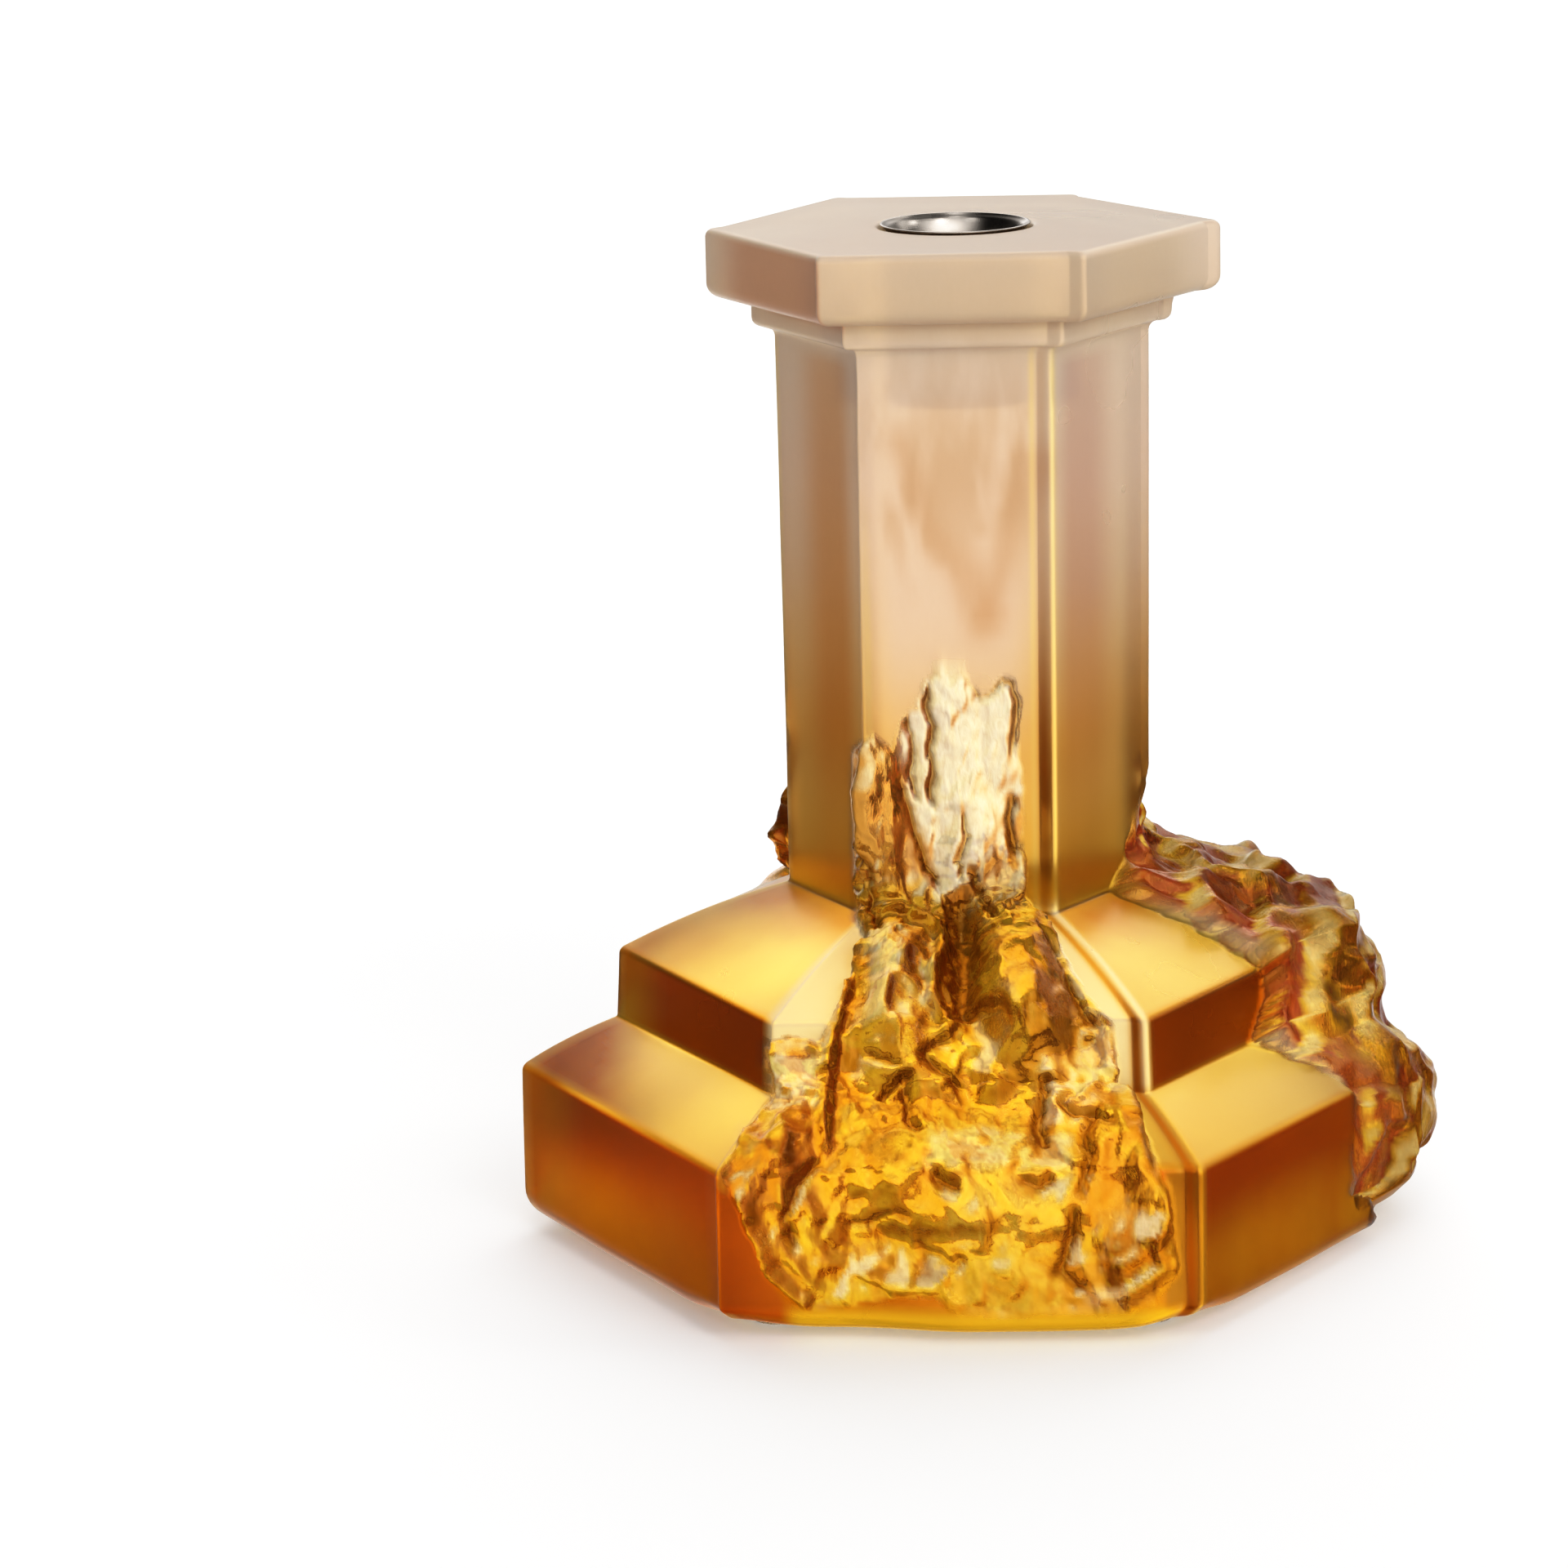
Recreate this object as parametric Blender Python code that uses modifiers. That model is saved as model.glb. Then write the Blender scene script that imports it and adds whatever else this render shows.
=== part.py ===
"""Glass candlestick: a one-piece cast hexagonal stand whose alternate faces are
left as broken rock, a lift-out metal candle cup with its rubber grip ring, and
six clear bumper feet.

Metres, +Z up.  The front rock face looks along -Y.  The stand's feet rest on
z = 0 and the origin is the middle of the footprint box, so the column's axis
stands at (AXIS_X, AXIS_Y).
"""

import math

import bmesh
import bpy
from mathutils import Matrix, Vector

MM = 0.001

# ---------------------------------------------------------------- dimensions
AXIS_X = -2.46 * MM           # column axis, from the middle of the footprint
AXIS_Y = 2.30 * MM

FOOT_D = 10.0 * MM            # bumper feet
FOOT_T = 1.5 * MM
FOOT_RING_R = 66.0 * MM       # how far out they sit, towards the six corners
FOOT_GAP = 0.2 * MM

GLASS_Z = FOOT_T + FOOT_GAP   # underside of the glass
GLASS_H = 187.0 * MM          # height of the glass alone

SOCKET_R = 13.6 * MM          # blind hole for the cup
SOCKET_MOUTH_R = 14.15 * MM
SOCKET_DEPTH = 31.0 * MM

CUP_MOUTH_R = 13.65 * MM      # spun cup, outside
CUP_BODY_R = 12.0 * MM
CUP_WALL = 0.8 * MM
CUP_DEPTH = 30.0 * MM         # below the top of the glass
CUP_PROUD = 0.4 * MM          # the rim stands this much above the glass
CUP_FLARE = 6.0 * MM          # depth of the trumpet mouth

RING_SECTION_R = 0.7 * MM     # rubber ring stretched around the cup
RING_MEAN_R = 12.8 * MM
RING_DOWN = 12.0 * MM         # below the top of the glass

EDGE_R = 1.6 * MM             # softened cast edges
CORNER = math.cos(math.radians(30.0))

# half width across flats and height above the underside, from the top down
STAND = [
    (0.0, 187.0), (39.7, 187.0), (39.7, 174.3),          # hexagonal drip plate
    (32.5, 174.3), (32.5, 169.0),                        # necking slab
    (29.9, 169.0), (29.1, 165.5), (28.8, 158.0),         # small cove
    (28.6, 110.0), (28.6, 65.2),                         # column
    (43.0, 59.9), (56.4, 52.5),                          # upper tread, domed
    (56.8, 39.4),                                        # upper riser
    (65.2, 35.4), (72.5, 29.9),                          # lower tread
    (72.7, 7.0), (71.9, 3.6), (69.7, 1.1), (66.4, 0.0),  # lower riser, rounded foot
    (0.0, 0.0),
]

# alternate faces carry a plate that stands out at its left end and dies into
# the corner at its right end
PLATE_PROUD = 1.2 * MM
PLATE_TURN = math.radians(1.3)

# broken-rock fills on the plates: distance out from the axis and height
FRONT_ROCK = [
    (20, 108), (29.5, 108), (30.6, 98), (30.8, 82), (33.0, 70), (43, 62.5),
    (54, 55.5), (59.5, 50), (61, 41), (69, 34), (74.6, 28), (76.2, 17),
    (75.4, 7.5), (69, 4), (20, 4),
]
RIGHT_ROCK = [
    (20, 87), (31, 84), (35.5, 76.5), (40.5, 71.5), (47.5, 70), (60, 64),
    (69.5, 61.5), (75, 60), (77.5, 53.5), (81.5, 44), (83, 39), (88.5, 31),
    (91, 25.5), (91, 19), (89.5, 12.5), (87, 7), (80, 4.5), (60, 4), (20, 4),
]
# seen from above, this one spills over the corner onto the next plain face
RIGHT_ROCK_PLAN = [
    (12, -4), (29, -10), (54, -20), (71.5, -22), (79, -15), (87, -2), (90, 12),
    (88.5, 26), (82, 38), (73, 49), (60, 60), (44, 68), (33, 62), (14, 24),
]
LEFT_ROCK = [
    (20, 103), (29.5, 101), (32.4, 94), (31.2, 84), (34.5, 73), (40, 65),
    (54, 56.5), (60, 50), (62, 42), (70, 34), (75.5, 27), (76.6, 16),
    (75, 7.5), (69, 4), (20, 4),
]
ROCK_VOXEL = 5.2 * MM
ROCK_ROUGH = 3.4 * MM

GLASS_TOP = GLASS_Z + GLASS_H


# ------------------------------------------------------------------- helpers
def clear_scene():
    for ob in list(bpy.data.objects):
        bpy.data.objects.remove(ob, do_unlink=True)
    for me in list(bpy.data.meshes):
        bpy.data.meshes.remove(me)


def collection(name):
    col = bpy.data.collections.new(name)
    bpy.context.scene.collection.children.link(col)
    return col


def material(name, colour, roughness, metallic=0.0, transmission=0.0, ior=1.5):
    mat = bpy.data.materials.new(name)
    mat.use_nodes = True
    shader = mat.node_tree.nodes["Principled BSDF"]
    shader.inputs["Base Color"].default_value = (*colour, 1.0)
    shader.inputs["Roughness"].default_value = roughness
    shader.inputs["Metallic"].default_value = metallic
    shader.inputs["Transmission Weight"].default_value = transmission
    shader.inputs["IOR"].default_value = ior
    mat.diffuse_color = (*colour, 1.0)
    return mat


def add_object(name, data, col):
    ob = bpy.data.objects.new(name, data)
    col.objects.link(ob)
    return ob


def turned(name, profile, steps, col):
    """A profile at +X, from the top down its outer side, turned about Z."""
    mesh = bpy.data.meshes.new(name)
    points = [(r, 0.0, z) for r, z in profile]
    mesh.from_pydata(points, [(i, i + 1) for i in range(len(points) - 1)], [])
    ob = add_object(name, mesh, col)
    screw = ob.modifiers.new("Screw", "SCREW")
    screw.axis = "Z"
    screw.angle = 2.0 * math.pi
    screw.steps = steps
    screw.render_steps = steps
    screw.use_merge_vertices = True
    screw.merge_threshold = 0.00001
    screw.use_smooth_shade = False
    return ob


def as_cutter(ob):
    ob.hide_render = True
    ob.display_type = "WIRE"
    return ob


def boolean(ob, other, operation, name):
    mod = ob.modifiers.new(name, "BOOLEAN")
    mod.operation = operation
    mod.solver = "EXACT"
    mod.use_self = True
    mod.object = other
    return mod


def bevel(ob, width, segments, angle):
    mod = ob.modifiers.new("Bevel", "BEVEL")
    mod.width = width
    mod.segments = segments
    mod.limit_method = "ANGLE"
    mod.angle_limit = angle
    mod.use_clamp_overlap = True
    return mod


def smooth_shade(ob):
    for face in ob.data.polygons:
        face.use_smooth = True


def wedge(name, facing, inset, col):
    """A three-sided prism that holds one sixth of the stand, its point at the axis."""
    reach = 90.0 * MM
    bm = bmesh.new()
    bmesh.ops.create_cone(
        bm, cap_ends=True, segments=3, radius1=reach, radius2=reach,
        depth=0.24,
    )
    # put one corner of the triangle on the axis, its middle line along +X
    corner = max(bm.verts, key=lambda v: (round(v.co.y, 6), v.co.z)).co.copy()
    swing = math.atan2(corner.y, corner.x)
    bmesh.ops.rotate(bm, verts=bm.verts, cent=(0, 0, 0),
                     matrix=Matrix.Rotation(math.pi - swing, 3, "Z"))
    bmesh.ops.translate(bm, verts=bm.verts, vec=(reach + inset, 0.0, 0.09))
    bmesh.ops.rotate(bm, verts=bm.verts, cent=(0, 0, 0),
                     matrix=Matrix.Rotation(facing, 3, "Z"))
    mesh = bpy.data.meshes.new(name)
    bm.to_mesh(mesh)
    bm.free()
    return as_cutter(add_object(name, mesh, col))


def drawn_block(name, outline, thickness, col):
    """A flat outline in millimetres, drawn as a filled curve and thickened along Z."""
    curve = bpy.data.curves.new(name, "CURVE")
    curve.dimensions = "2D"
    curve.fill_mode = "BOTH"
    curve.extrude = thickness / 2
    spline = curve.splines.new("POLY")
    spline.points.add(len(outline) - 1)
    for point, (out, up) in zip(spline.points, outline):
        point.co = (out * MM, up * MM, 0.0, 1.0)
    spline.use_cyclic_u = True
    drawn = bpy.data.objects.new(name + "_outline", curve)
    col.objects.link(drawn)
    bpy.context.view_layer.update()
    mesh = bpy.data.meshes.new_from_object(
        drawn.evaluated_get(bpy.context.evaluated_depsgraph_get()))
    bpy.data.objects.remove(drawn, do_unlink=True)
    bm = bmesh.new()
    bm.from_mesh(mesh)
    bmesh.ops.remove_doubles(bm, verts=bm.verts, dist=0.00001)
    bmesh.ops.recalc_face_normals(bm, faces=bm.faces)
    bm.to_mesh(mesh)
    bm.free()
    return as_cutter(add_object(name, mesh, col))


def rock(name, outline, facing, trim, seed, col):
    """A block with the rock's side outline, trimmed from above, voxelled and roughened."""
    ob = drawn_block(name, outline, 0.16, col)
    # stand the outline up, and turn it to its face
    ob.data.transform(Matrix.Rotation(facing, 4, "Z")
                      @ Matrix.Rotation(math.pi / 2, 4, "X"))
    boolean(ob, trim, "INTERSECT", "Trim")
    remesh = ob.modifiers.new("Remesh", "REMESH")
    remesh.mode = "VOXEL"
    remesh.voxel_size = ROCK_VOXEL
    crag = bpy.data.textures.new(name + "_crag", "VORONOI")
    crag.noise_scale = 0.017
    crag.distance_metric = "DISTANCE"
    rough = bpy.data.textures.new(name + "_rough", "CLOUDS")
    rough.noise_scale = 0.009
    rough.noise_depth = 2
    offset = bpy.data.objects.new(name + "_grain", None)
    offset.location = Vector((0.013, 0.029, 0.007)) * seed
    col.objects.link(offset)
    for texture, strength in ((crag, ROCK_ROUGH), (rough, 0.6 * ROCK_ROUGH)):
        push = ob.modifiers.new("Displace", "DISPLACE")
        push.texture = texture
        push.texture_coords = "OBJECT"
        push.texture_coords_object = offset
        push.strength = strength
        push.mid_level = 0.45
    return ob


# --------------------------------------------------------------------- build
clear_scene()
stand = collection("glass_candlestick")
tools = collection("shaping_tools")

amber = material("cast_amber_glass", (0.86, 0.42, 0.10), 0.35, 0.0, 0.9, 1.52)
nickel = material("satin_nickel", (0.62, 0.58, 0.54), 0.28, 1.0)
black_rubber = material("rubber_ring", (0.03, 0.03, 0.03), 0.6)
clear_bumper = material("clear_bumper", (0.85, 0.86, 0.85), 0.25, 0.0, 0.6, 1.45)

front, right, left = (math.radians(a) for a in (270.0, 30.0, 150.0))

# the cast body
body = turned(
    "glass_body",
    [(half / CORNER * MM, GLASS_Z + up * MM) for half, up in STAND], 6, stand)
bevel(body, EDGE_R, 2, math.radians(33.0))

# the plates' lids, ledges and soles stay just clear of the body's own planes
shy = {187.0: -0.4, 174.3: -0.5, 169.0: -0.5, 0.0: 0.6}
proud = [(half / CORNER * MM + (PLATE_PROUD / CORNER if half else 0.0),
          GLASS_Z + (up + shy.get(up, 0.0)) * MM) for half, up in STAND]
for tag, facing in (("front", front), ("right", right), ("left", left)):
    plate = as_cutter(turned("plate_" + tag, proud, 6, tools))
    plate.rotation_euler.z = PLATE_TURN
    bevel(plate, 0.9 * MM, 1, math.radians(33.0))
    boolean(plate, wedge("wedge_" + tag, facing, 1.5 * MM, tools), "INTERSECT", "Wedge")
    boolean(body, plate, "UNION", "Plate_" + tag)

spill = drawn_block("rock_right_plan", RIGHT_ROCK_PLAN, 0.30, tools)
for tag, outline, facing, trim, seed in (
        ("front", FRONT_ROCK, front, None, 1.0),
        ("right", RIGHT_ROCK, math.radians(16.0), spill, 2.3),
        ("left", LEFT_ROCK, left, None, 3.7)):
    if trim is None:
        trim = wedge("rock_%s_wedge" % tag, facing, 3.6 * MM, tools)
    lump = rock("rock_" + tag,
                [(out, up + GLASS_Z / MM) for out, up in outline],
                facing, trim, seed, tools)
    boolean(body, lump, "UNION", "Rock_" + tag)

socket = as_cutter(turned("socket_cutter", [
    (0.0, GLASS_TOP + 5.0 * MM),
    (SOCKET_MOUTH_R + 0.6 * MM, GLASS_TOP + 5.0 * MM),
    (SOCKET_MOUTH_R + 0.6 * MM, GLASS_TOP + 0.2 * MM),
    (SOCKET_MOUTH_R, GLASS_TOP - 0.5 * MM),
    (SOCKET_R + 0.25 * MM, GLASS_TOP - 1.6 * MM),
    (SOCKET_R, GLASS_TOP - 3.0 * MM),
    (SOCKET_R, GLASS_TOP - SOCKET_DEPTH + 1.0 * MM),
    (SOCKET_R - 1.0 * MM, GLASS_TOP - SOCKET_DEPTH),
    (0.0, GLASS_TOP - SOCKET_DEPTH),
], 40, tools))
boolean(body, socket, "DIFFERENCE", "Socket")
body.data.materials.append(amber)

# the spun cup: outside down, floor, inside up
outer, inner = [], []
for i in range(7):
    t = i / 6.0
    fall = (1.0 - math.sqrt(max(0.0, 1.0 - (1.0 - t) ** 2)))
    r = CUP_BODY_R + (CUP_MOUTH_R - CUP_BODY_R) * fall
    outer.append((r, GLASS_TOP + CUP_PROUD * 0.4 - t * CUP_FLARE))
    inner.append((r - CUP_WALL, GLASS_TOP + CUP_PROUD * 0.4 - t * CUP_FLARE))
rim = [(CUP_MOUTH_R - 0.22 * MM, GLASS_TOP + CUP_PROUD),
       (CUP_MOUTH_R - CUP_WALL + 0.22 * MM, GLASS_TOP + CUP_PROUD)]
floor_out = GLASS_TOP - CUP_DEPTH
foot_r = 2.4 * MM
outer_foot = [(CUP_BODY_R - foot_r + foot_r * math.cos(a),
               floor_out + foot_r - foot_r * math.sin(a))
              for a in (math.radians(22.5 * k) for k in range(5))]
inner_foot = [(CUP_BODY_R - foot_r + (foot_r - CUP_WALL) * math.cos(a),
               floor_out + foot_r - (foot_r - CUP_WALL) * math.sin(a))
              for a in (math.radians(22.5 * k) for k in range(4, -1, -1))]
cup_profile = (
    [(0.0, floor_out + CUP_WALL)] + inner_foot
    + list(reversed(inner)) + list(reversed(rim)) + outer + outer_foot
    + [(0.0, floor_out)]
)
cup = turned("candle_cup", cup_profile, 44, stand)
smooth_shade(cup)
cup.data.materials.append(nickel)

# the ring that grips the cup in its hole
bpy.ops.mesh.primitive_torus_add(
    major_radius=RING_MEAN_R, minor_radius=RING_SECTION_R,
    major_segments=36, minor_segments=8,
    location=(0.0, 0.0, GLASS_TOP - RING_DOWN))
ring = bpy.context.active_object
ring.name = "cup_grip_ring"
ring.data.name = "cup_grip_ring"
for owner in list(ring.users_collection):
    owner.objects.unlink(ring)
stand.objects.link(ring)
smooth_shade(ring)
ring.data.materials.append(black_rubber)

# six feet, one inside each corner
feet = []
for k in range(6):
    around = math.radians(60.0 * k)
    foot = turned("bumper_foot_%d" % (k + 1), [
        (0.0, FOOT_T), (FOOT_D / 2, FOOT_T), (FOOT_D / 2 - 0.05 * MM, 0.9 * MM),
        (FOOT_D / 2 - 0.45 * MM, 0.25 * MM), (FOOT_D / 2 - 1.1 * MM, 0.0),
        (0.0, 0.0)], 20, stand)
    foot.location = (FOOT_RING_R * math.cos(around), FOOT_RING_R * math.sin(around), 0.0)
    smooth_shade(foot)
    foot.data.materials.append(clear_bumper)
    feet.append(foot)

# everything hangs from two empties: the stand, and the cup's slide axis
root = bpy.data.objects.new("stand_origin", None)
stand.objects.link(root)
lift = bpy.data.objects.new("cup_slide_axis", None)
stand.objects.link(lift)
lift.parent = root
for ob in [body] + feet + list(tools.objects):
    ob.parent = root
for ob in (cup, ring):
    ob.parent = lift
root.location = (AXIS_X, AXIS_Y, 0.0)
bpy.context.view_layer.update()
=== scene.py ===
"""Glass candlestick, looks: cast amber glass with frosted and broken-rock faces,
a spun metal cup, a rubber ring and clear feet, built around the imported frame."""

import math

import bpy
import numpy as np
from mathutils import Matrix, Vector


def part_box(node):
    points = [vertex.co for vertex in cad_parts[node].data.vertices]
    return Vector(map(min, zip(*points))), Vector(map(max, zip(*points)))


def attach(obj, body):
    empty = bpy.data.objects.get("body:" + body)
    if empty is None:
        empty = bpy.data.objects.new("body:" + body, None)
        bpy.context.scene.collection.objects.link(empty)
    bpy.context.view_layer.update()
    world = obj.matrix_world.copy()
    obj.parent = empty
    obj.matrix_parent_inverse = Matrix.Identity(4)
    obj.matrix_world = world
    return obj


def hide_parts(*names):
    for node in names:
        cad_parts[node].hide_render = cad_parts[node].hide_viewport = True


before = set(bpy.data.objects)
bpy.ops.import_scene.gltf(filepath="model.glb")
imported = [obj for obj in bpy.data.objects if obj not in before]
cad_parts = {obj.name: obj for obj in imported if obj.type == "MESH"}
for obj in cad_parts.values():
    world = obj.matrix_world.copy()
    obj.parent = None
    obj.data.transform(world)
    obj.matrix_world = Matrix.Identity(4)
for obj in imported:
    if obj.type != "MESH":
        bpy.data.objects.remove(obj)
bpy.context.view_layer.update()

MM = 0.001

# where the CAD puts things
cup_lo, cup_hi = (np.array(v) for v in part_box("candle_cup"))
glass_lo, glass_hi = (np.array(v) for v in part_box("glass_body"))
AXIS = (cup_lo + cup_hi) / 2
GZ = glass_lo[2]                      # underside of the glass
H = (glass_hi[2] - glass_lo[2]) / MM  # 187
TOP = glass_hi[2]


# =====================================================================
# noise, in numpy so that whole surfaces are evaluated at once
# =====================================================================
_table = np.random.RandomState(11).permutation(256)
_perm = np.concatenate([_table, _table, _table])
_grads = np.random.RandomState(12).normal(size=(256, 3))
_grads /= np.linalg.norm(_grads, axis=1)[:, None]
_jit = np.random.RandomState(13).uniform(size=(256, 3))
_tilt = np.random.RandomState(14).normal(size=(256, 3))


def _hash(i, seed=0):
    i = i + seed * 37
    return _perm[_perm[_perm[i[..., 0] & 255] + (i[..., 1] & 255)] + (i[..., 2] & 255)]


def perlin(p, seed=0):
    i = np.floor(p).astype(int)
    f = p - i
    u = f * f * f * (f * (f * 6 - 15) + 10)
    total = 0.0
    for c in range(8):
        o = np.array([c & 1, (c >> 1) & 1, (c >> 2) & 1])
        g = _grads[_hash(i + o, seed)]
        w = np.prod(np.where(o, u, 1 - u), axis=-1)
        total = total + w * np.sum(g * (f - o), axis=-1)
    return total * 1.6


def fbm(p, octaves=4, seed=0, gain=0.5, lac=2.03):
    out, amp, norm = 0.0, 1.0, 0.0
    for k in range(octaves):
        out = out + amp * perlin(p, seed + k)
        norm += amp
        amp *= gain
        p = p * lac + 17.3
    return out / norm


def ridged(p, octaves=4, seed=0, gain=0.55, lac=2.1):
    out, amp, norm = 0.0, 1.0, 0.0
    for k in range(octaves):
        out = out + amp * (1.0 - 2.2 * np.abs(perlin(p, seed + k)))
        norm += amp
        amp *= gain
        p = p * lac + 9.1
    return out / norm


def cells(p, seed=0):
    """Distance to the nearest and second nearest jittered point, and a tilted facet value."""
    base = np.floor(p).astype(int)
    d1 = np.full(p.shape[:-1], 9.0)
    d2 = np.full(p.shape[:-1], 9.0)
    facet = np.zeros(p.shape[:-1])
    for dx in (-1, 0, 1):
        for dy in (-1, 0, 1):
            for dz in (-1, 0, 1):
                i = base + np.array([dx, dy, dz])
                h = _hash(i, seed)
                c = i + 0.15 + 0.7 * _jit[h]
                v = p - c
                d = np.sqrt(np.sum(v * v, axis=-1))
                value = np.sum(_tilt[h] * v, axis=-1) * 0.5 + _tilt[h][..., 0] * 0.35
                nearer = d < d1
                d2 = np.where(nearer, d1, np.minimum(d2, d))
                facet = np.where(nearer, value, facet)
                d1 = np.where(nearer, d, d1)
    return d1, d2, facet


def smooth(a, b, x):
    t = np.clip((x - a) / (b - a), 0.0, 1.0)
    return t * t * (3 - 2 * t)


def bump1(x, c, w):
    return np.exp(-((x - c) / w) ** 2)


def line_dist(x, y, pts):
    """Distance to a polyline, and how far along it (0 to 1) the nearest point is."""
    best = np.full(x.shape, 1e9)
    along = np.zeros(x.shape)
    n = len(pts) - 1
    for k, ((x0, y0), (x1, y1)) in enumerate(zip(pts, pts[1:])):
        dx, dy = x1 - x0, y1 - y0
        t = np.clip(((x - x0) * dx + (y - y0) * dy) / (dx * dx + dy * dy + 1e-9), 0, 1)
        d = np.hypot(x - x0 - t * dx, y - y0 - t * dy)
        along = np.where(d < best, (k + t) / n, along)
        best = np.minimum(best, d)
    return best, along


def inside(x, y, pts):
    """Signed distance to a closed outline, positive inside."""
    d, _ = line_dist(x, y, pts + [pts[0]])
    odd = np.zeros(x.shape, bool)
    for (x0, y0), (x1, y1) in zip(pts, pts[1:] + [pts[0]]):
        crosses = (y0 > y) != (y1 > y)
        xi = x0 + (y - y0) * (x1 - x0) / (y1 - y0 + 1e-12)
        odd ^= crosses & (x < xi)
    return np.where(odd, d, -d)


# =====================================================================
# the glass: rows follow the stepped profile, columns go round the hexagon
# =====================================================================
def fillet_path(points, closed=False):
    """points: (x, y, radius, arc steps, steps to the next point). Returns points along the rounded path."""
    out = []
    n = len(points)
    pts = [np.array(p[:2], float) for p in points]
    starts, ends, arcs = [], [], []
    for i in range(n):
        p, r, steps = pts[i], points[i][2], points[i][3]
        if (not closed and i in (0, n - 1)) or r <= 0:
            starts.append(p)
            ends.append(p)
            arcs.append([p])
            continue
        a, b = pts[i - 1] - p, pts[(i + 1) % n] - p
        la, lb = np.linalg.norm(a), np.linalg.norm(b)
        a, b = a / la, b / lb
        half = math.acos(max(-1.0, min(1.0, float(a @ b)))) / 2
        t = min(r / math.tan(half), 0.48 * la, 0.48 * lb)
        rr = t * math.tan(half)
        centre = p + (a + b) / np.linalg.norm(a + b) * (rr / math.sin(half))
        s, e = p + a * t, p + b * t
        v0, v1 = s - centre, e - centre
        a0 = math.atan2(v0[1], v0[0])
        da = math.atan2(v1[1], v1[0]) - a0
        da = (da + math.pi) % (2 * math.pi) - math.pi
        arc = [centre + rr * np.array([math.cos(a0 + da * k / steps), math.sin(a0 + da * k / steps)])
               for k in range(steps + 1)]
        starts.append(s)
        ends.append(e)
        arcs.append(arc)
    last = n if closed else n - 1
    for i in range(n):
        out.extend(arcs[i])
        if i < last:
            a, b = ends[i], starts[(i + 1) % n]
            m = points[i][4]
            out.extend(a + (b - a) * k / m for k in range(1, m))
    return np.array(out)


# half width across flats, height, radius, arc steps, steps to the next corner
RISE = [
    (36.5, H, 0, 1, 3),
    (39.5, H, 1.5, 4, 7),
    (39.5, 174.3, 2.7, 6, 3),
    (32.5, 174.3, 0.8, 3, 2),
    (32.5, 169.0, 1.6, 4, 2),
    (28.9, 169.0, 2.6, 5, 22),
    (28.5, 110.0, 0, 1, 62),
    (28.3, 65.2, 1.0, 4, 40),
    (56.1, 52.5, 1.5, 6, 18),
    (56.7, 39.4, 0.8, 4, 25),
    (72.3, 29.9, 1.8, 6, 32),
    (72.6, 0.0, 6.0, 10, 5),
    (40.0, 0.0, 0, 1, 3),
]
path = fillet_path([(a, z, r, n, m) for a, z, r, n, m in RISE] + [(8.0, 0.0, 0, 1, 1)])
# the treads are a little domed
for (a0, z0), (a1, z1), lift in (((28.3, 65.2), (56.1, 52.5), 0.9), ((56.7, 39.4), (72.3, 29.9), 0.5)):
    d = np.array([a1 - a0, z1 - z0])
    L = np.hypot(*d)
    nrm = np.array([-d[1], d[0]]) / L
    rel = path - np.array([a0, z0])
    u, off = rel @ d / L / L, rel @ nrm
    on = (u > 0) & (u < 1) & (np.abs(off) < 0.8)
    path[on] += nrm * (4 * u * (1 - u) * lift)[on][:, None]
apo_o, hgt_o = path[:, 0], path[:, 1]

# inside the cup's hole and over the lid the section is a circle that turns into the hexagon
hole = [(6.0, -31.0, 0), (12.2, -31.0, 0), (13.3, -30.6, 0), (13.6, -29.6, 0), (13.6, -24, 0),
        (13.6, -18, 0), (13.6, -12, 0), (13.6, -7, 0), (13.6, -3.4, 0), (13.68, -2.2, 0),
        (13.82, -1.3, 0), (14.05, -0.62, 0), (14.4, -0.2, 0), (14.9, -0.02, 0), (15.8, 0, 0.02),
        (18.5, 0, 0.1), (22, 0, 0.3), (26, 0, 0.55), (30, 0, 0.8), (33.5, 0, 0.97)]
apo = np.concatenate([[h[0] for h in hole], apo_o])
hgt = np.concatenate([[H + h[1] for h in hole], hgt_o])
hexness = np.concatenate([[h[2] for h in hole], np.ones(len(apo_o))])
first = len(hole)                     # rows before this are lid and hole
ROWS = len(apo)

# path length up the outside, 0 at the foot of the wall
seg = np.hypot(np.diff(apo), np.diff(hgt))
run = np.concatenate([[0], np.cumsum(seg)])
foot_row = first + int(np.argmin(np.abs(apo_o - 72.6) + np.abs(hgt_o - 6.0)))
run = run[foot_row] - run + 6.0       # w, millimetres above the foot

PLATES = [  # facing, columns on plate, columns on the next plain face, proud, recess
    (270.0, 132, 56, 1.2, 1.0),
    (30.0, 104, 18, 2.3, 0.9),
    (150.0, 74, 18, 1.6, 0.9),
]


def section(a, z):
    s = min(1.0, a / 28.0)
    at_lid = float(smooth(171.0, 175.0, z))
    pts = []
    plate, side = a - 0.45 * s, a + 0.45 * s
    hw = (2 * side - plate) / math.sqrt(3)
    for k, (face, cols, gap, proud, sink) in enumerate(PLATES):
        th = math.radians(face)
        n = np.array([math.cos(th), math.sin(th)])
        t = np.array([-math.sin(th), math.cos(th)])
        proud = (proud + at_lid * (1.2 if k == 1 else 0.4)) * s
        vs, ve = n * plate - t * hw, n * plate + t * hw
        wide = 2.7 * s
        p1 = vs + n * proud + t * 0.15 * s
        p2 = ve - t * wide - n * sink * s
        pts += [(*vs, 0.5 * s, 3, 3), (*p1, (1.3 + 0.8 * at_lid) * s, 5, cols),
                (*p2, 1.0 * s, 4, 4), (*ve, 1.0 * s, 5, gap)]
    return fillet_path(pts, closed=True)


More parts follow.
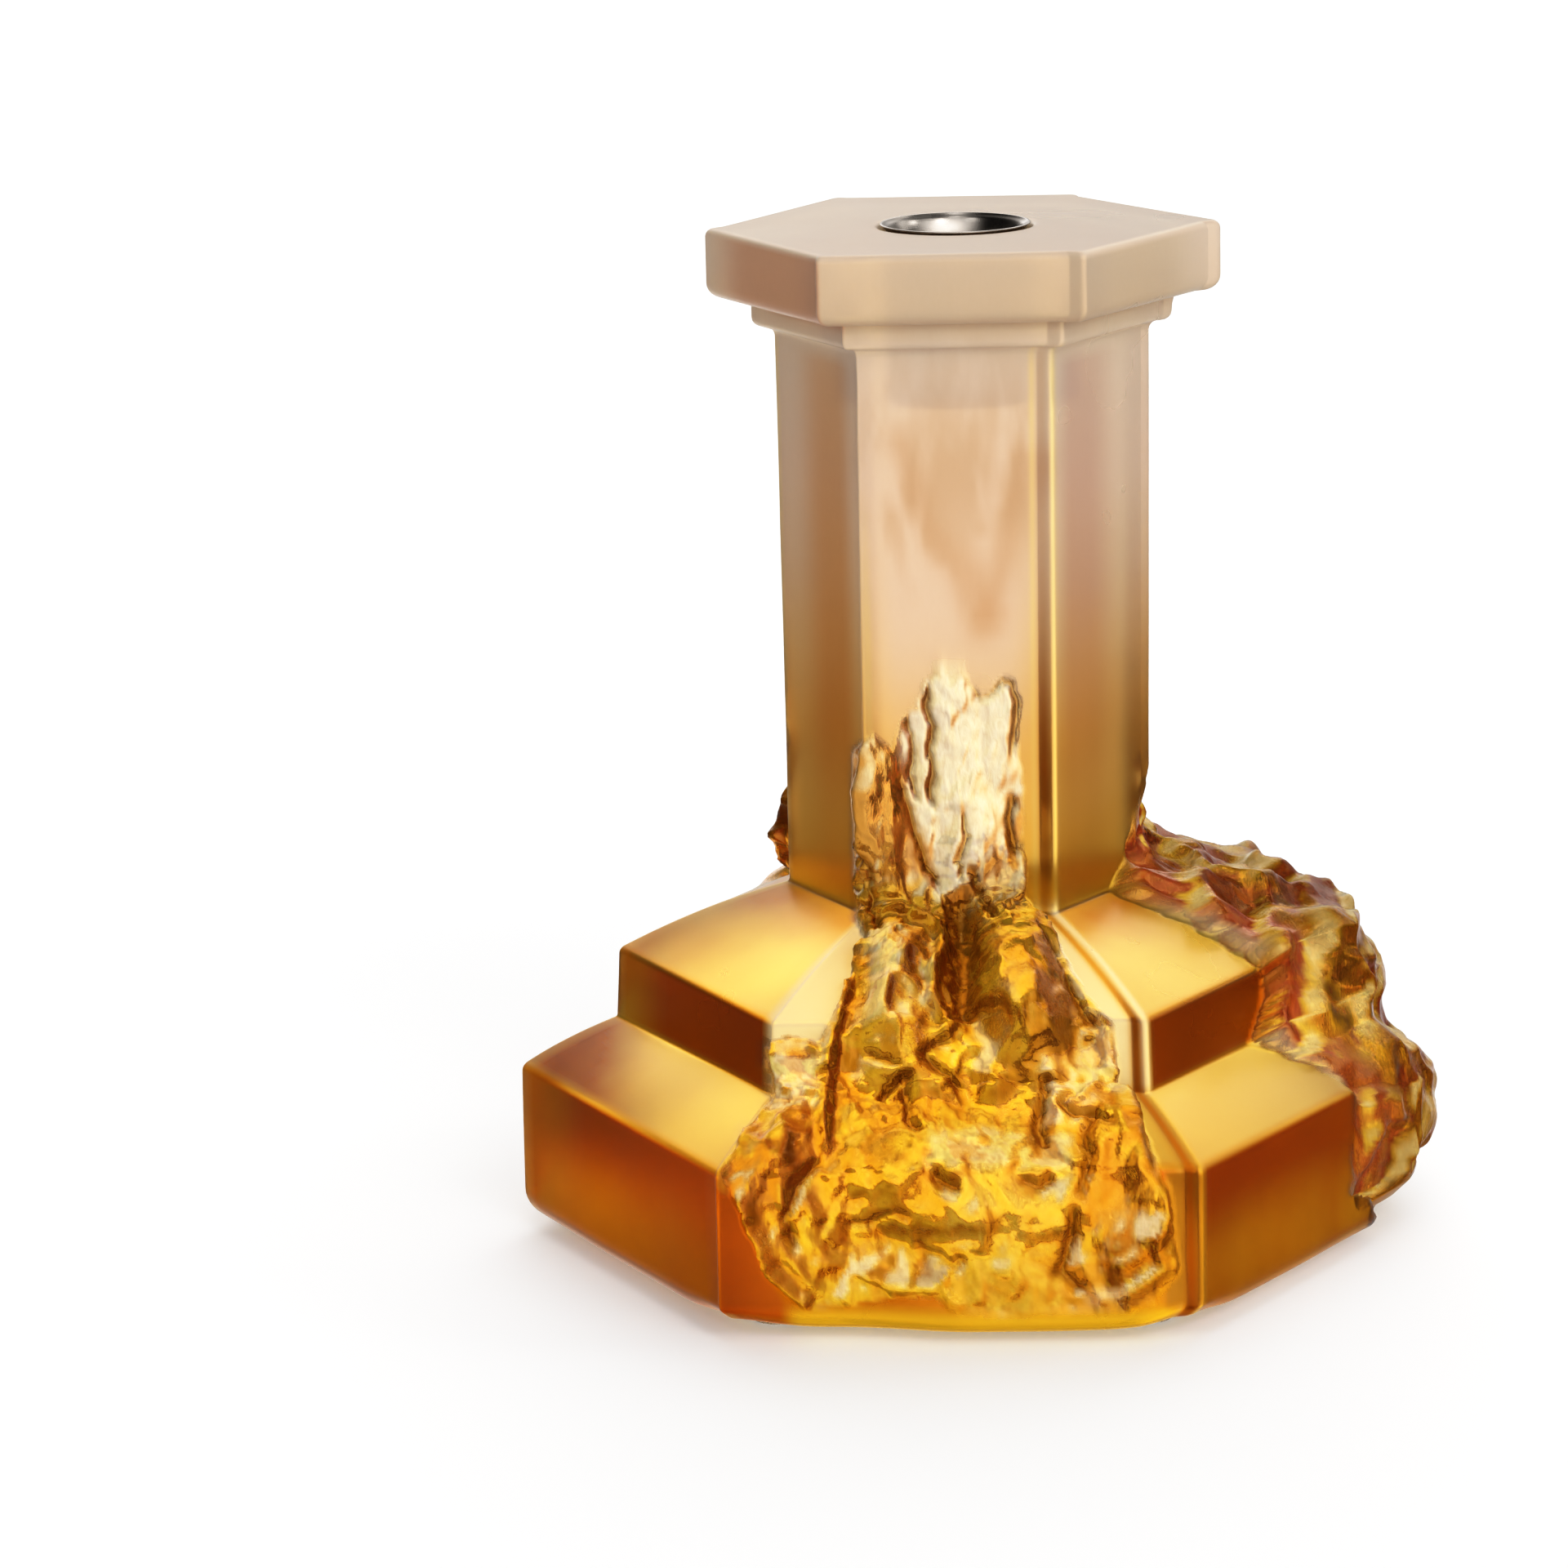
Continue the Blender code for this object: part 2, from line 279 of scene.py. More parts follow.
ref = section(30.0, 120.0)
COLS = len(ref)
turn = np.arctan2(ref[:, 1], ref[:, 0])
ring = np.stack([np.cos(turn), np.sin(turn)], 1)

P = np.zeros((ROWS, COLS, 3))
for i in range(ROWS):
    hexed = section(max(apo[i], 2.0), hgt[i]) if hexness[i] > 0 else 0.0
    P[i, :, :2] = hexness[i] * hexed + (1 - hexness[i]) * apo[i] * ring
    P[i, :, 2] = hgt[i]
W = np.repeat(run[:, None], COLS, 1)
PHI = np.degrees(np.arctan2(P[..., 1], P[..., 0]))


def across(face):
    th = math.radians(face)
    return P[..., 0] * -math.sin(th) + P[..., 1] * math.cos(th)


def outward(face):
    th = math.radians(face)
    return P[..., 0] * math.cos(th) + P[..., 1] * math.sin(th)


outer = np.zeros(ROWS)
outer[first:] = 1.0
outer[apo < 66] = np.where(hgt[apo < 66] < 1.0, 0.0, outer[apo < 66])
OUT = np.repeat(outer[:, None], COLS, 1)

# ---- a softened version of the profile: what the broken faces follow
rows_o = np.arange(first, ROWS)
w_fine = np.linspace(run.min(), run[first], 1600)
a_fine = np.interp(w_fine, run[::-1], apo[::-1])
z_fine = np.interp(w_fine, run[::-1], hgt[::-1])


def soften(sigma, lift):
    k = np.arange(-int(3 * sigma / (w_fine[1] - w_fine[0])), int(3 * sigma / (w_fine[1] - w_fine[0])) + 1)
    g = np.exp(-0.5 * (k * (w_fine[1] - w_fine[0]) / sigma) ** 2)
    g /= g.sum()
    pad = len(k) // 2
    sa = np.convolve(np.pad(a_fine, pad, mode="edge"), g, "valid")
    sz = np.convolve(np.pad(z_fine, pad, mode="reflect", reflect_type="odd"), g, "valid")
    da, dz = np.gradient(sa), np.gradient(sz)
    L = np.hypot(da, dz) + 1e-9
    na, nz = dz / L, -da / L
    return sa + na * lift, sz + nz * lift


# ---- front: listed forms on the broken face, (t, w) in millimetres
T = across(270.0)
Wf = W
front_face = smooth(0.0, 6.0, outward(270.0) - 22.0) * OUT
FRONT_OUTLINE = [
    (-18.9, 122), (-15, 125), (-12, 122.5), (-10.5, 127), (-7.5, 130), (-6.2, 134.5), (-3, 137), (0.5, 136.5),
    (2.5, 134), (4.2, 131.5), (6, 132.8), (8, 135), (10.2, 134.5), (11.2, 131), (10.8, 122), (11.8, 114),
    (11, 105), (11.8, 99), (11.6, 94), (13, 90.5), (15.5, 87), (17.5, 81), (19.5, 75), (22, 69), (24.5, 64),
    (27.5, 60), (28, 54), (27.5, 49), (30.5, 45), (32, 40), (33, 35), (35.5, 30), (37, 24), (37.8, 17),
    (38.5, 11), (34, 6), (27, 4.5), (18, 4.8), (9, 3.5), (1, 4.4), (-5, 7.4), (-12, 7.2), (-19, 5.4),
    (-25.5, 4.6), (-30, 7), (-33.5, 11.5), (-36, 18), (-39, 25), (-41.5, 30), (-37, 41), (-33.8, 47),
    (-33.6, 58), (-30, 59.4), (-25, 57.4), (-22.4, 62), (-20.2, 69), (-18.4, 77), (-16.6, 83), (-18.8, 89),
    (-19.4, 100), (-19.4, 112),
]
wob = fbm(np.stack([T / 3.1, Wf / 3.1, 0 * T], -1), 3, 5) * 0.9
front_in = inside(T, Wf, FRONT_OUTLINE) + wob
front_mask = smooth(-0.4, 0.9, front_in) * front_face

F = np.zeros_like(T)
CR = np.zeros_like(T)


def hump(t0, w0, rt, rw, h, lean=0.0, power=2.0):
    global F
    dt, dw = T - t0 - lean * (Wf - w0), Wf - w0
    q = np.abs(dt / rt) ** power + np.abs(dw / rw) ** power
    F = F + h * np.exp(-q)


def groove(pts, depth, width, taper=True):
    """A crack (depth below 0) or a rib (above 0) along a line."""
    global F, CR
    wt = fbm(np.stack([T / 2.2, Wf / 2.2, 0 * T + 3], -1), 2, 9) * 0.8
    d, u = line_dist(T + wt, Wf + wt * 0.5, pts)
    fade = (smooth(0, 0.12, u) * smooth(1, 0.88, u)) if taper else 1.0
    F = F + depth * np.exp(-(d / width) ** 2) * fade
    if depth < 0:
        CR = np.maximum(CR, np.exp(-(d / (0.62 * width)) ** 2) * fade * min(1.0, -depth / 1.4))


# column rock: pale lobes with dark outlines, amber patch at the left
hump(-0.5, 120, 6.0, 17.0, 1.1, power=4)
hump(7.5, 125, 2.8, 9.5, 1.0, power=4)
hump(-14.5, 108, 4.0, 16.0, 1.9, power=4)
hump(-16.5, 113, 2.5, 7.0, 1.0)
hump(4.0, 104, 5.0, 9.0, 1.3)
hump(-12.0, 97, 5.0, 6.0, 1.0)
groove([(-5.0, 135.5), (-5.6, 130), (-4.4, 126), (-5.2, 121.5), (-4.4, 117.5), (-5.2, 114), (-4.2, 110.5)], -1.5, 0.75)
groove([(-9.6, 128.5), (-8.0, 123), (-8.8, 117), (-7.0, 112)], -1.1, 0.6)
groove([(1.8, 135), (3.8, 131.6), (5.6, 132.2), (8.0, 134.6), (10.0, 133.8), (10.9, 130), (10.3, 125), (9.2, 119)], -1.3, 0.7)
groove([(0.2, 111), (1.4, 106), (-0.4, 101.5), (0.8, 97)], -1.0, 0.6)
groove([(9.8, 114), (9.0, 108), (10.2, 103), (12.2, 104.5)], -1.6, 0.9)
groove([(2.0, 101), (3.0, 96), (4.6, 92), (5.4, 88), (7.4, 86)], -1.8, 0.9)
groove([(10.6, 99.5), (10.2, 94), (8.2, 90), (5.6, 87)], 1.3, 0.9)
groove([(-11, 118), (-9.6, 112), (-7.6, 106), (-6.0, 100), (-3, 96)], -1.3, 0.8)
groove([(-17.2, 104), (-16.0, 97), (-15.6, 90), (-14, 84)], -1.4, 0.8)
# foot of the column: a tube-like rib that snakes down, and the dark cleft beside it
groove([(-15, 90), (-11, 90.5), (-7.5, 88), (-4.4, 86), (-3.0, 82), (-3.2, 77), (-4.6, 71), (-4.4, 65), (-1.4, 60.5), (-5.5, 55)], 2.6, 1.25)
groove([(0.5, 97), (0.6, 90), (0.4, 82), (1.0, 74), (0.6, 66), (1.8, 60)], -3.4, 2.8)
hump(-11.0, 72, 5.0, 12.0, 3.4, power=3)
hump(-10.5, 55, 6.0, 8.0, 3.2, power=3)
# the big streaky oval on the right
hump(10.8, 70, 6.4, 17.0, 4.6, power=3)
hump(14.0, 57, 6.0, 10.0, 3.0, power=3)
groove([(13.5, 83), (17, 78), (19.4, 71), (21.6, 65), (25, 58.5)], -1.6, 1.0)
groove([(-16.4, 82), (-18.8, 75), (-20.6, 67), (-22.2, 60), (-23.2, 51), (-23.6, 41), (-23.4, 31)], 2.0, 1.1)
# lower tread and wall
hump(-4.0, 49, 7.0, 7.0, 3.0)
hump(6.0, 47, 3.0, 6.0, 3.0)
hump(20.0, 46, 5.5, 7.5, 2.8, power=4)
hump(-28.5, 51.5, 4.0, 6.0, 1.4, power=6)
hump(4.0, 27, 14.0, 8.0, 2.6, power=3)
hump(-10.0, 36, 9.0, 7.0, 2.2)
hump(26.0, 36, 4.5, 9.0, 2.8, lean=0.25)
hump(31.5, 33, 3.0, 9.0, 2.4, lean=-0.2)
hump(29.0, 16, 7.0, 9.0, 2.0)
hump(-30.0, 36, 5.0, 9.0, 2.6, lean=0.3)
hump(-12.0, 16.0, 8.5, 6.0, -3.6, lean=-0.4)
hump(10.0, 12.0, 9.0, 5.0, 1.5)
hump(-27.0, 15.0, 5.0, 8.0, 1.2)
groove([(-39.2, 26.5), (-36.4, 21), (-33.4, 13), (-29.0, 7.5), (-26, 5.5)], 2.2, 1.3)
groove([(-9.2, 51), (-10.8, 48), (-14.6, 43.6)], -2.2, 0.9)
groove([(-9.0, 51.5), (-9.4, 46), (-9.0, 40), (-6.0, 36)], -2.2, 0.9)
groove([(-2.0, 58.5), (-6.4, 54.5), (-2, 50), (0.5, 46)], -1.8, 0.8)
groove([(-9.5, 52.5), (-13.5, 54), (-16.5, 55.5)], -1.5, 0.7)
groove([(15.5, 50), (15.2, 44), (14.0, 38), (16, 34)], -1.8, 0.8)
groove([(17, 42.5), (20, 40), (24, 39.5), (27, 37)], -1.6, 0.6)
groove([(20.5, 24.5), (20.0, 18), (18.0, 11.5), (20.4, 9.0), (23.5, 9.5)], -2.0, 0.9)
groove([(21.0, 24.5), (23.0, 31), (22.0, 36), (25.0, 41)], -1.7, 0.8)
groove([(35.5, 27), (36.2, 22), (34.8, 17), (36.0, 13), (33.0, 10), (27.5, 7)], 1.8, 1.1)
groove([(-20, 20.5), (-16, 20.0), (-12, 22.5), (-7, 22.0)], -0.9, 0.6)
groove([(-4.5, 29.5), (-2.2, 27.5), (0.5, 26.5)], -2.2, 1.0)
groove([(11, 28.5), (14, 26.5), (17, 28.5)], -1.5, 0.7)
groove([(-19, 12.5), (-12, 9.5), (-5, 8.8), (-1.5, 12)], 1.6, 0.9)
groove([(-1.6, 12), (-3.0, 8.5), (0.8, 5.2)], 1.1, 0.8)
groove([(-24, 33), (-28, 28), (-30, 22), (-28.6, 15)], -1.7, 0.8)

sa, sz = soften(6.5, 1.4)
soft_a = np.interp(run, w_fine, sa)[:, None]
soft_z = np.interp(run, w_fine, sz)[:, None]
th = math.radians(270.0)
n2 = np.array([math.cos(th), math.sin(th)])
fill = front_mask * smooth(112.0, 96.0, Wf)
dA = (soft_a - apo[:, None]) * fill
P[..., 0] += n2[0] * dA
P[..., 1] += n2[1] * dA
P[..., 2] += (soft_z - hgt[:, None]) * fill

swell = front_face * smooth(15.0, 1.0, W) * smooth(-22, 2, T) * smooth(43, 31, T) * 3.6
P[..., 1] -= swell

# ---- right: a boulder that spills over the corner
RIGHT = [(29.6, 86.0), (30.4, 81), (33.6, 75.0), (37.8, 70.0), (45.0, 68.2), (57.4, 62.4), (66.8, 59.6),
         (71.6, 58.4), (73.8, 56.0), (74.8, 51.8), (78.6, 42.6), (79.6, 38.0), (85.8, 30.0), (88.4, 24.5),
         (88.2, 18.2), (86.4, 12.0), (84.6, 6.6), (81.0, 3.4), (77.0, 1.2)]
rr = np.array(RIGHT)
ru = np.concatenate([[0], np.cumsum(np.hypot(*np.diff(rr, axis=0).T))])
ru /= ru[-1]
w_top, w_bot = 114.0, 2.2
u_row = np.clip((w_top - run) / (w_top - w_bot), 0, 1)
t_r = np.interp(u_row, ru, rr[:, 0])[:, None]
t_z = np.interp(u_row, ru, rr[:, 1])[:, None]
g_phi = np.interp(PHI, [-30, -18, -10, 0, 8, 16, 25, 34, 45, 52, 60, 70],
                  [0.79, 0.822, 0.872, 0.955, 0.99, 1.0, 1.0, 0.985, 0.925, 0.87, 0.82, 0.8])
edge_w = [-5, 2, 8.7, 11, 28, 30, 40, 48.3, 55, 61, 77, 90.5, 96, 105, 112, 116]
edge_lo = [-7, -9, -13.4, -18.2, -17, -16.8, -20, -25.4, -19.5, -19.0, -20, -23.0, -13.8, -4.5, 2, 6]
edge_hi = [44, 46, 50, 51, 52, 52, 52, 53, 53, 52, 50, 48, 46, 44, 40, 36]
lo_e = np.interp(run, edge_w, edge_lo)[:, None]
hi_e = np.interp(run, edge_w, edge_hi)[:, None]
jag = fbm(np.stack([W / 5.0, PHI / 9.0, 0 * W], -1), 3, 21) * 2.6
m_r = smooth(-0.6, 3.2, PHI - lo_e + jag) * smooth(-0.6, 5.0, hi_e - PHI + jag) * OUT
m_r = m_r * smooth(w_top + 1.5, w_top - 4.0, W + jag) * smooth(0.8, 3.4, W)
here = m_r > 0
rad = np.hypot(P[..., 0], P[..., 1]) + 1e-9
g_phi = g_phi * (1 - 0.10 * smooth(78, 105, W) * smooth(8, 40, np.abs(PHI - 12)))
tr = np.maximum(t_r * g_phi, np.minimum(rad, t_r * g_phi + 1.5))
P[..., 0] += (tr * P[..., 0] / rad - P[..., 0]) * m_r
P[..., 1] += (tr * P[..., 1] / rad - P[..., 1]) * m_r
P[..., 2] += (t_z - P[..., 2]) * m_r
rad = np.hypot(P[..., 0], P[..., 1]) + 1e-9
tuck = np.minimum(1.0, (t_r * g_phi + 1.5) / rad) - 1.0
tuck = tuck * smooth(5.0, 3.0, W) * smooth(-0.6, 3.2, PHI - lo_e) * smooth(-0.6, 5.0, hi_e - PHI)
P[..., 0] *= 1.0 + tuck
P[..., 1] *= 1.0 + tuck
# the broken part stops short of the table: the foot below it is smooth again
w_low = np.interp(PHI, [-16, -12, -4, 6, 25, 50], [7.0, 8.5, 11.5, 13.5, 13.0, 9.0])
m_r = m_r * smooth(w_low - 0.6, w_low + 1.6, W + 0.8 * jag)

# ---- left rear: lower, with a knuckle at the foot of the column
T2 = across(150.0)
hw2 = apo[:, None] * 0.5774
jag2 = fbm(np.stack([T2 / 4.0, W / 4.0, 0 * T2 + 7], -1), 3, 31) * 1.6
wob = (4.5 * fbm(np.stack([W / 16.0, 0 * W, 0 * T2 + 17], -1), 2, 33) - 1.5) * smooth(2, -8, T2)
m_l = smooth(-0.3, 1.4, hw2 * (0.66 + 0.27 * smooth(86, 93, W)) - np.abs(T2) + jag2 + wob) * smooth(0, 6, outward(150.0) - 22) * OUT
m_l = m_l * smooth(130.0, 124.0, W + 4 * jag2) * smooth(2.5, 5.0, W)
m_l = m_l * (1 - smooth(24, 30, W) * smooth(92, 88, W) * smooth(-8, 2, T2))
sa2, sz2 = soften(7.5, 2.0)
s2a = np.interp(run, w_fine, sa2)[:, None]
s2z = np.interp(run, w_fine, sz2)[:, None]
knuckle = 2.0 * bump1(W, 124, 5) + 4.6 * bump1(W, 99, 8) + 0.6
th = math.radians(150.0)
fill2 = m_l * smooth(118.0, 104.0, W) * (0.25 + 0.75 * smooth(62.0, 44.0, W))
dA = (s2a - apo[:, None]) * fill2 + knuckle * m_l * smooth(24, 12, T2 - 4)
P[..., 0] += math.cos(th) * dA
P[..., 1] += math.sin(th) * dA
P[..., 2] += (s2z - hgt[:, None]) * fill2


# ---- normals of the shaped grid
def grid_normals(q):
    du = np.roll(q, -1, 1) - np.roll(q, 1, 1)
    dv = np.zeros_like(q)
    dv[1:-1] = q[2:] - q[:-2]
    dv[0], dv[-1] = q[1] - q[0], q[-1] - q[-2]
    n = np.cross(dv, du)
    n /= np.linalg.norm(n, axis=-1, keepdims=True) + 1e-9
    return n


def soften_grid(v, times=3):
    for _ in range(times):
        v = (np.roll(v, 1, 1) + np.roll(v, -1, 1) + 2 * v) / 4
        up, down = np.vstack([v[:1], v[:-1]]), np.vstack([v[1:], v[-1:]])
        v = (up + down + 2 * v) / 4
    return v


N = grid_normals(P)
out_sign = np.sign(np.sum(N[first + 10, :, :2] * P[first + 10, :, :2]))
N = soften_grid(N * out_sign, 6)
N /= np.linalg.norm(N, axis=-1, keepdims=True) + 1e-9

rock = np.maximum(np.maximum(front_mask, m_r), m_l)
Q = P.copy()
warp = np.stack([fbm(Q / 9.0 + k * 5.7, 3, 40 + k) for k in range(3)], -1)
Q1 = Q + warp * 4.5
up_slow = np.array([1.0, 1.0, 0.62])
d1, d2, fc = cells(Q1 * up_slow / 11.0, 2)
scoop = d1 * d1 * 2.6 + fc * 0.9
d1b, d2b, fcb = cells(Q1 * up_slow / 5.0 + 3.3, 4)
scoop_b = d1b * d1b * 1.3 + fcb * 0.55
d1c, d2c, fcc = cells((Q + warp * 2.0) / 2.4 + 1.7, 6)
crags = ridged(Q1 * np.array([1, 1, 0.5]) / 7.5, 2, 50)
across_r, along_r = (W + 1.3 * PHI) * 0.7071, (W - 1.3 * PHI) * 0.7071
bend = 5.0 * fbm(np.stack([across_r / 30, along_r / 30, 0 * W + 5], -1), 2, 55)
ribs = ridged(np.stack([(across_r + bend) / 11.0, along_r / 46.0, 0 * W + 2], -1), 2, 57)
fine = ridged(Q * np.array([1, 1, 0.5]) / 2.1, 3, 60)
rolls = fbm(np.stack([(across_r + bend) / 10.0, along_r / 34.0, 0 * W + 8], -1), 2, 58)
rough_rear = soften_grid(1.9 * scoop + 0.35 * scoop_b + 1.0 * ribs + 2.6 * rolls + 0.25 * crags - 2.1, 2)
rough_front = 0.85 * scoop + 0.75 * scoop_b + 0.10 * fcc + 1.0 * crags + 0.12 * fine - 1.2
quiet = 0.45 + 0.55 * smooth(112, 96, W)
side_t = inside(T, Wf, [(-33, 49), (-33, 58), (-25.5, 56.5), (-25, 48)])
calm = 1 - 0.75 * smooth(-0.5, 0.8, side_t)
disp = (front_mask * (F * (1 + 0.25 * smooth(98, 90, W)) + rough_front * quiet * calm)
        + np.maximum(m_r, m_l) * rough_rear * (1 - front_mask))
P = P + N * disp[..., None]

# direction of a painted light: rock facets turned toward it get painted highlights below, those turned away painted
# shade
PAINT_LIGHT_DIR = np.array([-0.52, -0.42, 0.74])
n1 = grid_normals(P) * out_sign
lit_facing = soften_grid(np.sum(n1 * PAINT_LIGHT_DIR, -1), 1) - np.sum(N * PAINT_LIGHT_DIR, -1)

turn = (np.degrees(np.arctan2(P[..., 1], P[..., 0])) + 360) % 360
nib = np.exp(-((turn - 301) / 6.5) ** 2) + np.exp(-((turn - 239) / 6.5) ** 2)
P[..., 2] += 1.7 * nib * smooth(6.5, 0.8, W) * smooth(58, 70, np.hypot(P[..., 0], P[..., 1]))

# the smooth casting isn't dead flat: faint sink and waviness on the frosted faces
wave = fbm(np.stack([P[..., 0] / 34, P[..., 1] / 34, P[..., 2] / 46], -1), 2, 70) * 0.22
P = P + N * (wave * (1 - rock) * (OUT * smooth(171, 165, P[..., 2]) + 0.25))[..., None]
flat = smooth(2.2, 0.0, W) * (apo[:, None] < 70)
P[..., 2] = np.where((W < 3.0) & (P[..., 2] < 0.0), 0.0, P[..., 2])

# ---- colour of the casting: clear and milky at the top, honey to burnt amber at the foot, with painted light and shade laid over it below
def col(*c):
    return np.array(c, float)


def lay(tone, m, c):
    return tone + np.clip(m, 0, 1)[..., None] * (c - tone)


HB = P[..., 2]
NZ = N[..., 2]
AZM = np.degrees(np.arctan2(P[..., 1], P[..., 0]))
slow = fbm(P / np.array([16.0, 16.0, 26.0]), 3, 80)
mist = fbm(P / np.array([7.0, 7.0, 22.0]) + slow[..., None] * 0.8, 3, 84)
fleck = fbm(P / 1.6, 2, 88)

heights = [0, 30, 60, 68, 80, 95, 110, 125, 145, 165, 175, 187]
shade = np.array([(0.85, 0.62, 0.08), (0.85, 0.62, 0.08), (0.85, 0.60, 0.08), (0.90, 0.40, 0.05),
                  (0.92, 0.44, 0.08), (0.93, 0.56, 0.20), (0.93, 0.66, 0.38), (0.91, 0.70, 0.52),
                  (0.89, 0.71, 0.58), (0.88, 0.73, 0.60), (0.90, 0.74, 0.58), (0.90, 0.76, 0.62)])
zz = HB + 5.0 * slow
tone = np.stack([np.interp(zz, heights, shade[:, k]) for k in range(3)], -1)
# a painted glow: a paler, milkier heart in the front of the column, with brown smoke drifting down through it
front_glow = front_face * smooth(19.0, 9.0, np.abs(T + 1)) * bump1(HB, 118, 24)
tone = lay(tone, 0.75 * front_glow, col(0.76, 0.60, 0.52))
for drift in ([(-10, 152), (-5, 140), (1, 128), (4, 119)], [(14, 148), (10, 136), (5, 121)]):
    dd, _ = line_dist(T + 4.0 * mist, HB, drift)
    tone = lay(tone, 0.5 * np.exp(-(dd / 3.4) ** 2) * front_face, col(0.56, 0.31, 0.18))
smoke = smooth(-0.02, 0.50, mist + 0.25 * bump1(T, 3, 6) + 0.1) * bump1(HB, 146, 17) * smooth(22, 10, np.abs(T)) * front_face
tone = lay(tone, 0.62 * smoke, col(0.58, 0.37, 0.24))
half_cap = np.abs(T) / (apo[:, None] * 0.5774)
# painted shade: the side faces of the shaft that look forward are darker and deeper in colour than the front, left and
# right tinted differently
shaft = OUT * smooth(66, 70, HB) * smooth(168, 164, HB) * (1 - front_face)
deep = np.interp(HB, [66, 90, 120, 165], [0.75, 1.0, 1.0, 0.7])[..., None]
left_side_shade = (shaft * smooth(0.2, 0.6, -np.sin(np.radians(AZM))) * (P[..., 0] < 0))[..., None]
right_side_shade = (shaft * smooth(0.2, 0.6, -np.sin(np.radians(AZM))) * (P[..., 0] > 0))[..., None]
tone = tone * (1 - left_side_shade * deep * (1 - col(0.86, 0.62, 0.42)))
tone = tone * (1 - right_side_shade * deep * (1 - col(0.80, 0.68, 0.70)))
# painted shade: the forward-looking side faces of the lid are darker, the left one darker and redder still
lid_side_shade = OUT * smooth(171.5, 173.5, HB) * smooth(0.7, 0.3, NZ) * smooth(0.0, 0.4, -np.sin(np.radians(AZM)))
tone = tone * (1 - lid_side_shade[..., None] * (1 - col(0.82, 0.79, 0.76)))
tone = tone * (1 - (lid_side_shade * (P[..., 0] < 0) * smooth(0.98, 1.04, half_cap))[..., None] * (1 - col(1.0, 0.78, 0.72)))
# painted shade: the upward-facing top of the lid is made 5% darker
tone = tone * (1 - (smooth(181, 184, HB) * smooth(0.6, 0.9, NZ))[..., None] * 0.05)
tone = tone * (1 - smooth(80, 110, HB)[..., None] * 0.04)
# painted light and shade: walls that look forward are painted burnt, treads honey with a painted sheen, brightest near
# the inner corner and toward the front
low = smooth(66.5, 64.0, HB) * OUT
up = smooth(0.25, 0.85, NZ)
facing = smooth(-1.0, 0.75, -np.sin(np.radians(AZM)))
forward_shade = smooth(-0.25, 0.35, -np.sin(np.radians(AZM)))
# runs at which the lower wall ends, the upper wall starts, and the upper wall ends
E2, F1, E1 = 30.7, 48.2, 62.0
wall = OUT * (smooth(E2 + 0.3, E2 - 1.6, W) + smooth(F1 - 0.8, F1 + 0.4, W) * smooth(E1 + 0.3, E1 - 1.6, W))
# painted shade on the walls that look forward, lighter low down and toward the right; seen from behind the walls stay
# golden
tone = lay(tone, wall * (1 - forward_shade), col(0.80, 0.50, 0.06))
tone = lay(tone, wall * forward_shade, col(0.44, 0.050, 0.0))
tone = lay(tone, wall * forward_shade * smooth(27.0, 6.0, W) * (0.85 + 0.6 * slow), col(0.60, 0.17, 0.0006))
tone = lay(tone, wall * forward_shade * smooth(24.0, 8.0, W) * smooth(5, 30, P[..., 0]) * (0.6 + 0.6 * slow), col(0.85, 0.40, 0.02))
inner2 = smooth(29.5, 47.5, W)
inner1 = smooth(61.5, 90.0, W)
tread2 = low * smooth(30.0, 31.4, W) * smooth(48.4, 47.4, W)
tread1 = low * smooth(61.2, 62.6, W) * smooth(95.0, 92.0, W)
corner = bump1(np.abs((AZM + 360) % 60 - 30), 30, 9)
far = smooth(-52, -70, P[..., 0]) + 0.3 * smooth(60, 76, P[..., 0])
# painted sheen on the treads over painted shade: brightest toward the front and the inner corner, dark toward the far
# ends and the back
painted_sheen2 = np.clip(1.0 - 0.95 * far - 0.5 * (1 - facing) + 0.30 * slow, 0, 1)
painted_sheen1 = np.clip(0.95 - 0.85 * smooth(74, 88, W) - 0.45 * (1 - facing) - 0.35 * smooth(30, 52, -P[..., 0]) + 0.30 * slow, 0, 1)
tone = lay(tone, tread2, col(0.30, 0.035, 0.001))
tone = lay(tone, tread2 * painted_sheen2, col(1.0, 1.0, 0.75))
tone = lay(tone, tread1, col(0.50, 0.12, 0.008))
tone = lay(tone, tread1 * painted_sheen1, col(1.0, 1.0, 0.70))
# light gathers along the rounded edges
edge = np.maximum.reduce([bump1(W, E2 - 0.1, 0.8), bump1(W, E1 - 0.2, 0.8), bump1(W, F1 - 0.2, 0.7) * 0.5])
tone = lay(tone, low * edge * 0.6, col(1.0, 0.58, 0.14))

# the plates: painted shade in the valley along one edge, low down, a painted highlight on the lip beyond it and a
# fainter one on the plate side of the valley, and a painted highlight along the other edge, low down
half_face = (apo[:, None] + 1.35) * 0.57735
for face in (270.0, 30.0, 150.0):
    tf = across(face)
    of = smooth(0.0, 6.0, outward(face) - 20.0) * OUT * smooth(171.0, 165.0, HB) * (1 - rock)
    tone = lay(tone, of * bump1(tf, half_face - 1.9, 1.15) * 0.85 * smooth(120, 80, HB), col(0.42, 0.10, 0.006))
    tone = lay(tone, of * bump1(tf, half_face + 0.1, 0.55) * 0.8, col(1.0, 0.82, 0.40))
    tone = lay(tone, of * bump1(tf, half_face - 3.6, 0.6) * 0.5, col(1.0, 0.78, 0.34))
    tone = lay(tone, of * bump1(tf, -half_face + 1.2, 0.8) * 0.6 * smooth(150, 110, HB), col(1.0, 0.80, 0.40))

